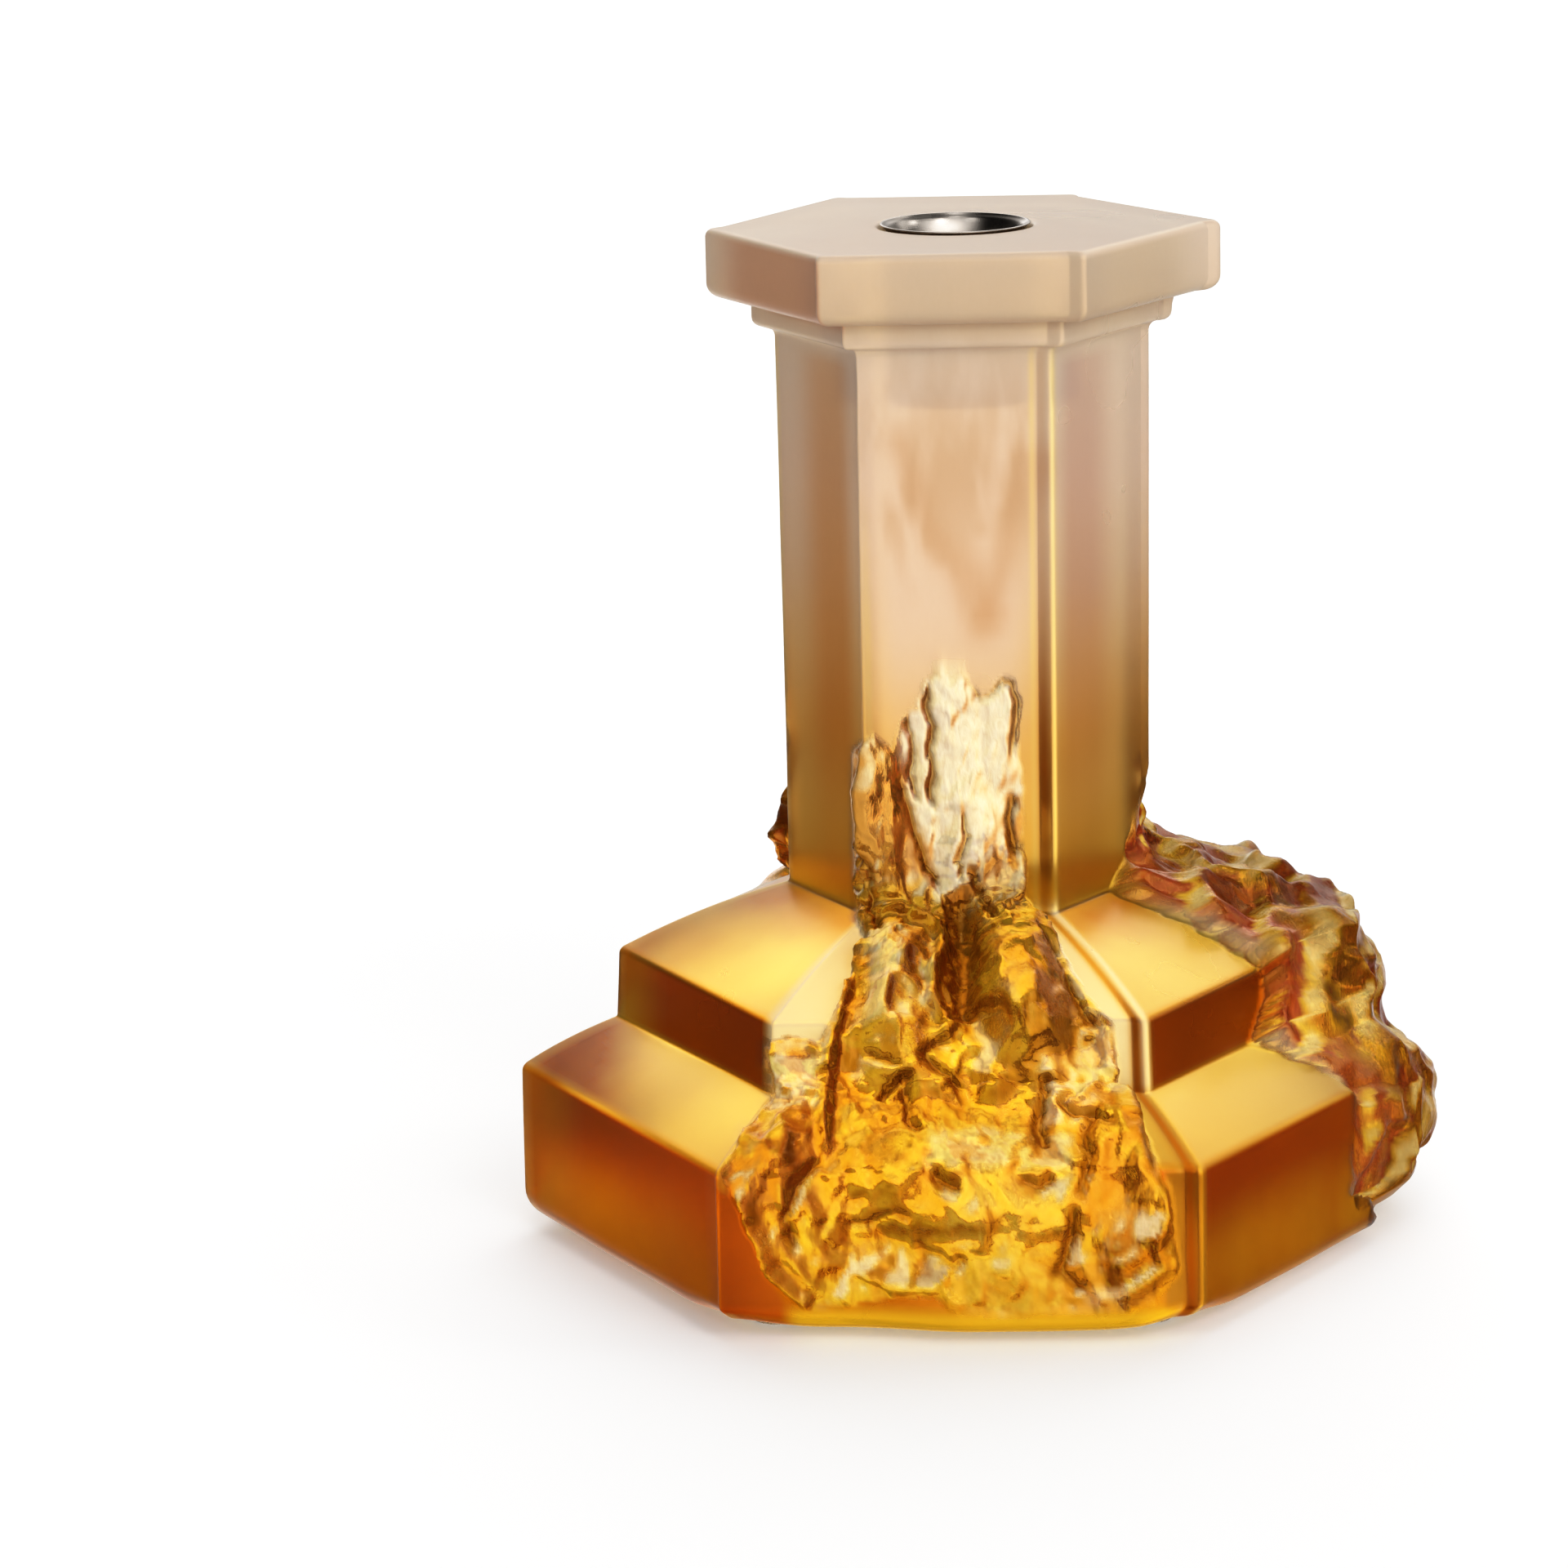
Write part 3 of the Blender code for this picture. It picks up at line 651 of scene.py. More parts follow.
# front rock, patch by patch: the pale, cream and yellow patches are painted reflections and glow, the brown and dark
# ones partly the glass's own colour and partly painted shade
Tn = T + 1.3 * fbm(P / 3.0, 3, 90)
Wn = W + 1.5 * fbm(P / 3.0 + 9, 3, 93)
PALE, CREAM, YEL = col(1.0, 0.94, 0.82), col(1.0, 0.88, 0.60), col(1.0, 0.90, 0.14)
GOLD, AMB, BRN = col(0.92, 0.56, 0.06), col(0.66, 0.25, 0.02), col(0.26, 0.075, 0.008)
DRK, MAU, RED = col(0.085, 0.022, 0.003), col(0.36, 0.13, 0.06), col(0.45, 0.075, 0.008)
KHA = col(0.78, 0.52, 0.12)


def patch(pts, c, k=1.0, soft=1.2):
    global rt, reflection_milk
    m = k * smooth(-soft, soft, inside(Tn, Wn, pts))
    # pale patches, which are painted reflections, are also made milky
    reflection_milk = reflection_milk + np.clip(m, 0, 1) * ((0.55 if c[2] > 0.4 else 0.0) - reflection_milk)
    rt = lay(rt, k * smooth(-soft, soft, inside(Tn, Wn, pts)), c)


def blob(t0, w0, rt_, rw_, c, k=1.0, lean=0.0):
    global rt
    q = ((Tn - t0 - lean * (Wn - w0)) / rt_) ** 2 + ((Wn - w0) / rw_) ** 2
    rt = lay(rt, k * smooth(1.35, 0.75, q), c)


reflection_milk = np.zeros_like(T)
rt = np.broadcast_to(GOLD, P.shape).copy()
patch([(-20, 92), (14, 92), (14, 140), (-20, 140)], PALE)
patch([(-20, 96), (-9, 99), (-5, 96), (-5, 102), (-9, 112), (-11, 125), (-20, 125)], col(0.80, 0.42, 0.17))
patch([(-20, 83), (-6, 84), (-4, 92), (-7, 98), (-20, 97)], col(0.70, 0.40, 0.10))
patch([(-4, 61), (3.5, 60), (5, 72), (5, 84), (2.5, 92), (0.5, 97), (-2, 92), (-4.5, 84), (-3, 72)], BRN, 0.9)
patch([(4.5, 84), (12, 84), (12.5, 100), (6, 104), (2.5, 98)], col(0.80, 0.60, 0.36))
blob(10.2, 106, 1.7, 6.5, AMB, 0.9)
patch([(4.5, 52), (18, 52), (21, 62), (17, 80), (12, 88), (7, 87), (5, 74)], KHA)
patch([(13, 52), (27, 52), (26, 60), (20, 70), (17, 80), (15, 76), (16, 64)], CREAM, 0.8)
patch([(-17, 60), (-4.5, 60), (-4.5, 82), (-10, 86), (-17, 84)], CREAM)
blob(-7.5, 76.0, 2.6, 4.5, BRN, 0.7)
patch([(-24, 30), (-17.5, 32), (-16.5, 48), (-17, 62), (-16, 76), (-19, 76), (-23, 58)], AMB)
patch([(-34, 43), (-24.5, 42), (-24.5, 56.5), (-33.5, 58)], CREAM)
patch([(-34, 55.5), (-24.5, 54.5), (-24.5, 58), (-33.5, 60)], BRN, 0.85, 0.6)
patch([(-17, 48), (-4, 46), (-4, 61), (-17, 61)], col(0.95, 0.66, 0.16))
blob(1.5, 50, 5.0, 8.0, GOLD)
blob(1.0, 54, 2.0, 3.0, YEL)
patch([(13, 38), (25.5, 38), (26, 52), (14, 52)], CREAM)
patch([(26, 44), (31, 44), (30, 62), (26.5, 60)], PALE, 0.9)
patch([(6, 36), (14, 36), (13.5, 52), (7, 52)], KHA, 0.8)
patch([(-24, 30), (-5, 30), (-6, 43), (-16, 44), (-24, 42)], col(0.68, 0.38, 0.05))
patch([(-40, 24), (-25, 24), (-24, 42), (-33, 43), (-41, 31)], col(0.45, 0.19, 0.045))
patch([(-6, 30), (20, 29), (20, 36), (4, 37.5), (-5, 36)], col(1.0, 0.85, 0.42))
patch([(-2, 17), (19, 16), (20, 30), (-2, 30)], col(1.0, 0.92, 0.38))
blob(-1.8, 27.6, 3.0, 2.2, DRK, 0.85)
blob(14, 27.6, 3.2, 2.4, BRN, 0.5)
patch([(-20, 22), (-5, 21), (-3, 29), (-16, 30)], col(0.86, 0.56, 0.08))
patch([(-20, 9), (-2, 8), (-2, 20), (-12, 21.5), (-21, 17)], col(0.78, 0.45, 0.045))
blob(-10, 19.5, 8.5, 1.3, BRN, 0.6, -1.0)
patch([(-28, 17), (-17, 17), (-17, 23), (-28, 22)], YEL)
patch([(-28, 5), (-15, 5.5), (-14, 10.5), (-27, 11)], YEL)
patch([(-14, 5.5), (-3, 5), (-2.5, 10), (-13, 10)], YEL)
patch([(1, 4.5), (18.5, 5), (18.5, 17.5), (2, 17)], col(1.0, 0.94, 0.24))
patch([(20, 20), (33, 20), (32, 40), (27, 46), (22, 40)], col(0.62, 0.32, 0.045))
patch([(25, 7), (36, 8), (36.5, 22), (31, 23), (25, 19)], BRN)
blob(29, 13, 3.5, 4.0, DRK, 0.7)
patch([(18.8, 9), (22.4, 9), (22.0, 25), (19.0, 25)], col(0.85, 0.52, 0.10))
patch([(22, 5), (34, 5), (33, 9), (22, 9)], CREAM, 0.7)
# painted glints on some facets and amber on others at random; painted highlights on facets turned toward the painted
# light, painted shade on those turned away, in the hollows and in the cracks; brown hairlines
painted_glint = smooth(0.05, 0.40, fcb + 0.45 * fcc) * 0.75
rt = lay(rt, painted_glint * smooth(100, 86, W) * 0.6, YEL)
painted_highlight = smooth(0.08, 0.32, lit_facing)
rt = lay(rt, smooth(-0.10, -0.45, fcb + 0.45 * fcc) * 0.5 * smooth(100, 86, W), AMB)
rt = lay(rt, smooth(-0.10, -0.38, lit_facing) * 0.80, col(0.50, 0.16, 0.008))
rt = lay(rt, smooth(-0.30, -0.62, lit_facing) * 0.85, DRK)
rt = lay(rt, painted_highlight * 0.85, col(1.0, 0.90, 0.58))
# painted shade in the hollows of the relief
high = disp - soften_grid(disp, 14)
rt = lay(rt, smooth(-0.35, -1.2, high) * 0.75, BRN)
hair = smooth(0.42, 0.70, ridged(Q1 * np.array([1, 1, 0.28]) / 1.9, 3, 96))
rt = lay(rt, hair * (0.15 + 0.25 * smooth(0.0, 0.4, slow)), BRN)
# painted shade in the cracks
rt = lay(rt, CR * 0.92, DRK)
tone = lay(tone, front_mask, 0) + front_mask[..., None] * rt

# right and rear rock: burnt satin planes with gold panels between; the gold panels are painted highlights, and the
# faces turned to the right are made red-brown
rk = np.broadcast_to(col(0.34, 0.050, 0.018), P.shape).copy()
glint_panel = smooth(-0.05, 0.12, fc + 0.35 * fcb + 0.4 * slow + 0.22 * smooth(40, 80, P[..., 0]) - 0.10)
skin = smooth(15.0, 8.0, PHI - lo_e + 1.6 * jag)
rk = lay(rk, glint_panel, col(1.0, 0.50, 0.03))
rk = lay(rk, skin * 0.9, col(0.34, 0.050, 0.022))
# painted shade on facets turned away from the painted light, painted highlights on facets turned toward it, and
# painted shade in the hollows
rk = lay(rk, smooth(-0.06, -0.30, lit_facing) * 0.75, col(0.24, 0.018, 0.002))
rk = lay(rk, smooth(0.70, 0.96, N[..., 0]) * 0.55, col(0.50, 0.07, 0.01))
rk = lay(rk, smooth(0.06, 0.18, lit_facing) * 0.85, col(1.0, 0.64, 0.06))
rk = lay(rk, smooth(0.20, 0.34, lit_facing) * 0.8, col(1.0, 0.86, 0.36))
rk = lay(rk, smooth(-0.8, -2.4, high) * 0.6, col(0.15, 0.012, 0.001))
rk = lay(rk, hair * 0.35 * (1 - painted_highlight), BRN)
other = np.maximum(m_r, m_l) * (1 - front_mask)
tone = lay(tone, other, 0) + other[..., None] * rk

# smooth parts of the front plate beside the rock
on_plate = smooth(0.9, 0.0, np.abs(T) - half_face) * OUT * smooth(0.0, 6.0, outward(270.0) - 20.0)
fp = front_face * on_plate * (1 - front_mask)
tri = inside(T, W, [(-43, 2), (-29, 2), (-34, 13), (-38, 25), (-43, 28)])
tone = lay(tone, fp * smooth(-0.5, 1.0, tri), col(0.50, 0.085, 0.006))
# painted glow along the foot of the front plate
tone = lay(tone, fp * smooth(6.5, 3.0, W) * smooth(-32, -28, T) * smooth(40, 36, T), col(0.98, 0.70, 0.06))
tone = lay(tone, fp * smooth(35.5, 37, T) * smooth(31, 28, W) * smooth(3, 6, W), col(0.42, 0.22, 0.06))
# painted light: a pale band on the front plate beside the rock, at the height of the treads, also made milky
tone = lay(tone, fp * smooth(46, 50, W) * smooth(95, 90, W) * smooth(12, 16, np.abs(T)), col(1.0, 0.88, 0.60))
# painted shade in the valley along the front plate's edge, darker toward the foot
valley = OUT * smooth(0.0, 6.0, outward(270.0) - 20.0) * bump1(T, half_face - 1.9, 1.0) * smooth(171.0, 165.0, HB) * (1 - rock)
foot = smooth(135.0, 85.0, HB)
tone = lay(tone, valley * (0.35 + 0.55 * foot), col(0.44, 0.10, 0.006) * foot[..., None] + col(0.74, 0.46, 0.24) * (1 - foot[..., None]))
# milkiness that mostly carries painted light: the painted glow, highlights, pale patches and band turn milky and read
# lighter; on the right rock it gives the satin look
glow_milk = fp * smooth(46, 50, W) * smooth(95, 90, W) * smooth(12, 16, np.abs(T)) * 0.55
glow_milk = np.maximum(glow_milk, 0.42 * front_glow * (1 - rock))
glow_milk = np.maximum(glow_milk, rock * painted_highlight * (0.30 + 0.40 * front_mask))
glow_milk = np.maximum(glow_milk, front_mask * reflection_milk * smooth(-0.30, -0.05, lit_facing) * (1 - 0.8 * CR))
glow_milk = np.maximum(glow_milk, 0.25 * on_plate * smooth(6.5, 3.0, W)) * (1 - valley)
glow_milk = np.maximum(glow_milk, m_r * (1 - front_mask) * (0.46 * skin + 0.16 * (1 - glint_panel)))
glow_milk = np.maximum(glow_milk, front_mask * smooth(92, 98, W) * smooth(-11.5, -9, T) * (0.45 - 0.4 * smooth(0.1, 0.5, CR)))
tone = np.clip(tone * (1 + 0.10 * fleck[..., None] * rock[..., None]), 0.0, 1.0)
# light crosses the skin twice, so the tint of the clear parts is lighter than the colour it ends up
clear_part = np.maximum(rock, smooth(100.0, 80.0, HB) * (1 - wall * forward_shade))[..., None]
tone = tone ** (1.0 - 0.35 * clear_part * (1 - 0.55 * rock[..., None]))

# ---- mesh
verts = P.reshape(-1, 3)
centre_top = np.array([[0, 0, H - 31.0]])
centre_bot = np.array([[0, 0, 0.0]])
verts = np.concatenate([verts, centre_top, centre_bot])
world = verts * MM + np.array([AXIS[0], AXIS[1], GZ])
idx = np.arange(ROWS * COLS).reshape(ROWS, COLS)
a, b = idx[:-1], idx[1:]
quads = np.stack([a, b, np.roll(b, -1, 1), np.roll(a, -1, 1)], -1).reshape(-1, 4)
top_c, bot_c = ROWS * COLS, ROWS * COLS + 1
fan_t = [(top_c, int(idx[0, j]), int(idx[0, (j + 1) % COLS])) for j in range(COLS)]
fan_b = [(bot_c, int(idx[-1, (j + 1) % COLS]), int(idx[-1, j])) for j in range(COLS)]
mesh = bpy.data.meshes.new("cast_glass_stand")
mesh.from_pydata(world.tolist(), [], quads.tolist() + fan_t + fan_b)
mesh.validate()
mesh.update()
polish = np.concatenate([rock.ravel(), [0, 0]])
att = mesh.attributes.new("polish", "FLOAT", "POINT")
att.data.foreach_set("value", polish.astype(np.float32))
rgba = np.ones((len(world), 4), np.float32)
rgba[:-2, :3] = tone.reshape(-1, 3)
rgba[:-2, 3] = np.clip(glow_milk, 0, 1).ravel()
rgba[-2:, :3] = tone[0, 0]
paint = mesh.color_attributes.new("tone", "FLOAT_COLOR", "POINT")
paint.data.foreach_set("color", rgba.ravel())
mesh.polygons.foreach_set("use_smooth", [True] * len(mesh.polygons))
glass = bpy.data.objects.new("cast_glass_stand", mesh)
bpy.context.scene.collection.objects.link(glass)
vol = 0.0
tri = world[quads]
vol = np.einsum("ij,ij->i", tri[:, 0], np.cross(tri[:, 1], tri[:, 2])).sum() + np.einsum(
    "ij,ij->i", tri[:, 0], np.cross(tri[:, 2], tri[:, 3])).sum()
if vol < 0:
    mesh.flip_normals()
print("glass grid", ROWS, "x", COLS, "faces", len(mesh.polygons), "volume cm3", abs(vol) / 6 * 1e6)


# =====================================================================
# the spun cup
# =====================================================================
def lathe(name, profile, steps):
    prof = np.array(profile)
    ang = np.linspace(0, 2 * math.pi, steps, endpoint=False)
    body = prof[1:-1]
    v = np.stack([body[:, None, 0] * np.cos(ang), body[:, None, 0] * np.sin(ang),
                  np.repeat(body[:, 1:2], steps, 1)], -1).reshape(-1, 3)
    v = np.concatenate([v, [[0, 0, prof[0, 1]]], [[0, 0, prof[-1, 1]]]])
    ii = np.arange(len(body) * steps).reshape(len(body), steps)
    a, b = ii[:-1], ii[1:]
    f = np.stack([a, np.roll(a, -1, 1), np.roll(b, -1, 1), b], -1).reshape(-1, 4).tolist()
    n = len(body) * steps
    f += [(n, int(ii[0, (j + 1) % steps]), int(ii[0, j])) for j in range(steps)]
    f += [(n + 1, int(ii[-1, j]), int(ii[-1, (j + 1) % steps])) for j in range(steps)]
    me = bpy.data.meshes.new(name)
    me.from_pydata((v * MM + np.array([AXIS[0], AXIS[1], 0])).tolist(), [], f)
    me.update()
    me.polygons.foreach_set("use_smooth", [True] * len(me.polygons))
    ob = bpy.data.objects.new(name, me)
    bpy.context.scene.collection.objects.link(ob)
    return ob


gt = TOP / MM
inner, outer_p = [], []
for k in range(17):
    t = k / 16.0
    fall = 1.0 - math.sqrt(max(0.0, 1.0 - (1.0 - t) ** 2))
    inner.append((11.2 + 1.9 * fall ** 0.9, gt + 0.22 - 6.2 * t))
    outer_p.append((12.0 + 1.63 * fall, gt + 0.16 - 6.0 * t))
rim = [(13.12, gt + 0.30), (13.22, gt + 0.37), (13.36, gt + 0.39), (13.5, gt + 0.37), (13.6, gt + 0.29), (13.64, gt + 0.2)]
foot = [(9.6 + 1.6 * math.cos(a), gt - 27.6 - 1.6 * math.sin(a)) for a in np.radians([0, 15, 30, 45, 60, 75, 90])]
foot_o = [(9.6 + 2.4 * math.cos(a), gt - 27.6 - 2.4 * math.sin(a)) for a in np.radians([0, 15, 30, 45, 60, 75, 90])]
prof = ([(0, gt - 29.2), (4, gt - 29.2)] + foot[::-1] + [(11.2, gt - 20), (11.2, gt - 12)] + inner[::-1] + rim
        + outer_p[1:] + [(12.0, gt - 12), (12.0, gt - 20)] + foot_o + [(4, gt - 30), (0, gt - 30)])
cup = lathe("spun_candle_cup", prof, 160)

# =====================================================================
# materials
# =====================================================================
def new_material(name):
    mat = bpy.data.materials.new(name)
    mat.use_nodes = True
    nt = mat.node_tree
    nt.nodes.clear()
    return mat, nt


def node(nt, kind, **props):
    n = nt.nodes.new(kind)
    for k, v in props.items():
        if k in n.inputs:
            n.inputs[k].default_value = v
        else:
            setattr(n, k, v)
    return n


def ramp(nt, stops, mode="LINEAR"):
    n = nt.nodes.new("ShaderNodeValToRGB")
    n.color_ramp.interpolation = mode
    els = n.color_ramp.elements
    while len(els) > 1:
        els.remove(els[-1])
    els[0].position, els[0].color = stops[0][0], (*stops[0][1], 1)
    for pos, col in stops[1:]:
        e = els.new(pos)
        e.color = (*col, 1)
    return n


def maths(nt, op, a, b=None, c=None, clamp=False):
    n = nt.nodes.new("ShaderNodeMath")
    n.operation = op
    n.use_clamp = clamp
    for i, v in enumerate((a, b, c)):
        if v is None:
            continue
        if isinstance(v, (int, float)):
            n.inputs[i].default_value = v
        else:
            nt.links.new(v, n.inputs[i])
    return n.outputs[0]


def maprange(nt, v, a, b, c, d):
    n = nt.nodes.new("ShaderNodeMapRange")
    nt.links.new(v, n.inputs[0])
    for i, x in zip((1, 2, 3, 4), (a, b, c, d)):
        n.inputs[i].default_value = x
    return n.outputs[0]


mat, nt = new_material("cast_amber_glass")
L = nt.links.new
out = node(nt, "ShaderNodeOutputMaterial")
geo = node(nt, "ShaderNodeTexCoord")
sep = node(nt, "ShaderNodeSeparateXYZ")
L(geo.outputs["Object"], sep.inputs[0])
zf = maprange(nt, sep.outputs[2], float(GZ), float(TOP), 0.0, 1.0)
att_n = node(nt, "ShaderNodeAttribute", attribute_name="polish")
polish_f = att_n.outputs["Fac"]

cloud = node(nt, "ShaderNodeTexNoise", Scale=26.0, Detail=3.0, Roughness=0.5)
L(geo.outputs["Object"], cloud.inputs["Vector"])
# frosting: fine sugar-like grain; rock: polished with fine tool-free fracture lines
grain = node(nt, "ShaderNodeTexNoise", Scale=2600.0, Detail=2.0, Roughness=0.6)
L(geo.outputs["Object"], grain.inputs["Vector"])
stretch = node(nt, "ShaderNodeMapping")
stretch.inputs["Scale"].default_value = (1.0, 1.0, 0.35)
L(geo.outputs["Object"], stretch.inputs["Vector"])
stria = node(nt, "ShaderNodeTexNoise", Scale=900.0, Detail=4.0, Roughness=0.62)
stria.inputs["Distortion"].default_value = 0.9
L(stretch.outputs[0], stria.inputs["Vector"])

rough_frost = maprange(nt, cloud.outputs[0], 0.3, 0.7, 0.26, 0.33)
rough_rock = maprange(nt, stria.outputs[0], 0.3, 0.7, 0.03, 0.10)
rmix = node(nt, "ShaderNodeMix", data_type="FLOAT")
L(polish_f, rmix.inputs[0])
L(rough_frost, rmix.inputs[2])
L(rough_rock, rmix.inputs[3])

hmix = node(nt, "ShaderNodeMix", data_type="FLOAT")
L(polish_f, hmix.inputs[0])
L(maths(nt, "MULTIPLY", grain.outputs[0], 0.02), hmix.inputs[2])
L(maths(nt, "MULTIPLY", stria.outputs[0], 0.6), hmix.inputs[3])
bump = node(nt, "ShaderNodeBump")
bump.inputs["Strength"].default_value = 0.55
bump.inputs["Distance"].default_value = 0.0004
L(hmix.outputs[0], bump.inputs["Height"])

bsdf = node(nt, "ShaderNodeBsdfPrincipled")
bsdf.inputs["IOR"].default_value = 1.5
bsdf.inputs["Specular Tint"].default_value = (1.0, 0.62, 0.20, 1.0)
L(rmix.outputs[0], bsdf.inputs["Roughness"])
L(bump.outputs[0], bsdf.inputs["Normal"])
# the lid and neck are milky, the base is clear right through
milk = ramp(nt, [(0.0, (1.0,) * 3), (0.40, (1.0,) * 3), (0.50, (0.90,) * 3), (0.62, (0.68,) * 3), (0.75, (0.52,) * 3), (1.0, (0.40,) * 3)])
L(zf, milk.inputs[0])
clear = node(nt, "ShaderNodeMix", data_type="FLOAT")
L(polish_f, clear.inputs[0])
L(milk.outputs[0], clear.inputs[2])
clear.inputs[3].default_value = 0.95
tone_n = node(nt, "ShaderNodeAttribute", attribute_name="tone")
# the milkiness of the painted glow and highlights lets less light pass through the glass there
glow_milk_f = maths(nt, "MULTIPLY_ADD", tone_n.outputs["Alpha"], -0.85, 1.0)
L(maths(nt, "MULTIPLY", clear.outputs[0], glow_milk_f), bsdf.inputs["Transmission Weight"])
vary = node(nt, "ShaderNodeMix", data_type="RGBA", blend_type="MULTIPLY")
L(maprange(nt, polish_f, 0.0, 1.0, 0.12, 1.0), vary.inputs[0])
L(tone_n.outputs["Color"], vary.inputs[6])
speck = ramp(nt, [(0.35, (0.90, 0.88, 0.84)), (0.65, (1.0, 1.0, 1.0))])
L(stria.outputs[0], speck.inputs[0])
L(speck.outputs[0], vary.inputs[7])
L(vary.outputs[2], bsdf.inputs["Base Color"])
L(bsdf.outputs[0], out.inputs["Surface"])
absorb = node(nt, "ShaderNodeVolumeAbsorption")
absorb.inputs["Color"].default_value = (0.92, 0.74, 0.10, 1.0)
absorb.inputs["Density"].default_value = 14.0
L(absorb.outputs[0], out.inputs["Volume"])
glass.data.materials.append(mat)

mat, nt = new_material("satin_nickel")
L = nt.links.new
out = node(nt, "ShaderNodeOutputMaterial")
geo = node(nt, "ShaderNodeTexCoord")
# spun lines run round the cup: stretch the noise by height only
ringmap = node(nt, "ShaderNodeMapping")
ringmap.inputs["Scale"].default_value = (120.0, 120.0, 5200.0)
L(geo.outputs["Object"], ringmap.inputs["Vector"])
spin = node(nt, "ShaderNodeTexNoise", Scale=1.0, Detail=3.0, Roughness=0.6)
L(ringmap.outputs[0], spin.inputs["Vector"])
smudge = node(nt, "ShaderNodeTexNoise", Scale=160.0, Detail=3.0, Roughness=0.5)
L(geo.outputs["Object"], smudge.inputs["Vector"])
col = ramp(nt, [(0.3, (0.32, 0.29, 0.26)), (0.7, (0.46, 0.42, 0.38))])
L(smudge.outputs[0], col.inputs[0])
bsdf = node(nt, "ShaderNodeBsdfPrincipled")
bsdf.inputs["Metallic"].default_value = 1.0
L(col.outputs[0], bsdf.inputs["Base Color"])
L(maprange(nt, smudge.outputs[0], 0.3, 0.7, 0.20, 0.34), bsdf.inputs["Roughness"])
bump = node(nt, "ShaderNodeBump")
bump.inputs["Strength"].default_value = 0.35
bump.inputs["Distance"].default_value = 0.00005
L(spin.outputs[0], bump.inputs["Height"])
L(bump.outputs[0], bsdf.inputs["Normal"])
L(bsdf.outputs[0], out.inputs["Surface"])
cup.data.materials.append(mat)

mat, nt = new_material("ring_rubber")
L = nt.links.new
out = node(nt, "ShaderNodeOutputMaterial")
geo = node(nt, "ShaderNodeTexCoord")
mottle = node(nt, "ShaderNodeTexNoise", Scale=900.0, Detail=4.0, Roughness=0.6)
L(geo.outputs["Object"], mottle.inputs["Vector"])
col = ramp(nt, [(0.3, (0.022, 0.022, 0.024)), (0.7, (0.055, 0.055, 0.058))])
L(mottle.outputs[0], col.inputs[0])
bsdf = node(nt, "ShaderNodeBsdfPrincipled")
L(col.outputs[0], bsdf.inputs["Base Color"])
L(maprange(nt, mottle.outputs[0], 0.3, 0.7, 0.5, 0.72), bsdf.inputs["Roughness"])
bump = node(nt, "ShaderNodeBump")
bump.inputs["Strength"].default_value = 0.3
bump.inputs["Distance"].default_value = 0.0001
L(mottle.outputs[0], bump.inputs["Height"])
L(bump.outputs[0], bsdf.inputs["Normal"])
L(bsdf.outputs[0], out.inputs["Surface"])
rubber = mat

mat, nt = new_material("clear_bumper")
L = nt.links.new
out = node(nt, "ShaderNodeOutputMaterial")
geo = node(nt, "ShaderNodeTexCoord")
mottle = node(nt, "ShaderNodeTexNoise", Scale=700.0, Detail=4.0, Roughness=0.6)
L(geo.outputs["Object"], mottle.inputs["Vector"])
col = ramp(nt, [(0.3, (0.86, 0.87, 0.86)), (0.7, (0.95, 0.95, 0.94))])
L(mottle.outputs[0], col.inputs[0])
bsdf = node(nt, "ShaderNodeBsdfPrincipled")
bsdf.inputs["IOR"].default_value = 1.46
bsdf.inputs["Transmission Weight"].default_value = 0.85
L(col.outputs[0], bsdf.inputs["Base Color"])
L(maprange(nt, mottle.outputs[0], 0.3, 0.7, 0.18, 0.34), bsdf.inputs["Roughness"])
bump = node(nt, "ShaderNodeBump")
bump.inputs["Strength"].default_value = 0.25
bump.inputs["Distance"].default_value = 0.0001
L(mottle.outputs[0], bump.inputs["Height"])
L(bump.outputs[0], bsdf.inputs["Normal"])
L(bsdf.outputs[0], out.inputs["Surface"])
bumper = mat

for name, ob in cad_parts.items():
    pick = rubber if name == "cup_grip_ring" else bumper if name.startswith("bumper") else None
    if pick:
        for slot in ob.material_slots:
            slot.material = pick
        if not ob.material_slots:
            ob.data.materials.append(pick)

# =====================================================================
# floor, light, camera
# =====================================================================
def plane(name, size):
    me = bpy.data.meshes.new(name)
    s = size / 2
    me.from_pydata([(-s, -s, 0), (s, -s, 0), (s, s, 0), (-s, s, 0)], [], [(0, 1, 2, 3)])
    ob = bpy.data.objects.new(name, me)
    bpy.context.scene.collection.objects.link(ob)
    return ob


floor = plane("studio_floor", 16.0)
fm, nt = new_material("studio_white")
L = nt.links.new
out = node(nt, "ShaderNodeOutputMaterial")
bsdf = node(nt, "ShaderNodeBsdfPrincipled")
bsdf.inputs["Base Color"].default_value = (0.86, 0.86, 0.86, 1)
bsdf.inputs["Roughness"].default_value = 0.7
bsdf.inputs["Specular IOR Level"].default_value = 0.2
bsdf.inputs["Emission Color"].default_value = (1, 1, 1, 1)
bsdf.inputs["Emission Strength"].default_value = 0.22
L(bsdf.outputs[0], out.inputs["Surface"])
floor.data.materials.append(fm)
# the stand is lit as if cut out on white: the floor takes its shadow but is not seen in it
floor.visible_glossy = False
floor.visible_transmission = False

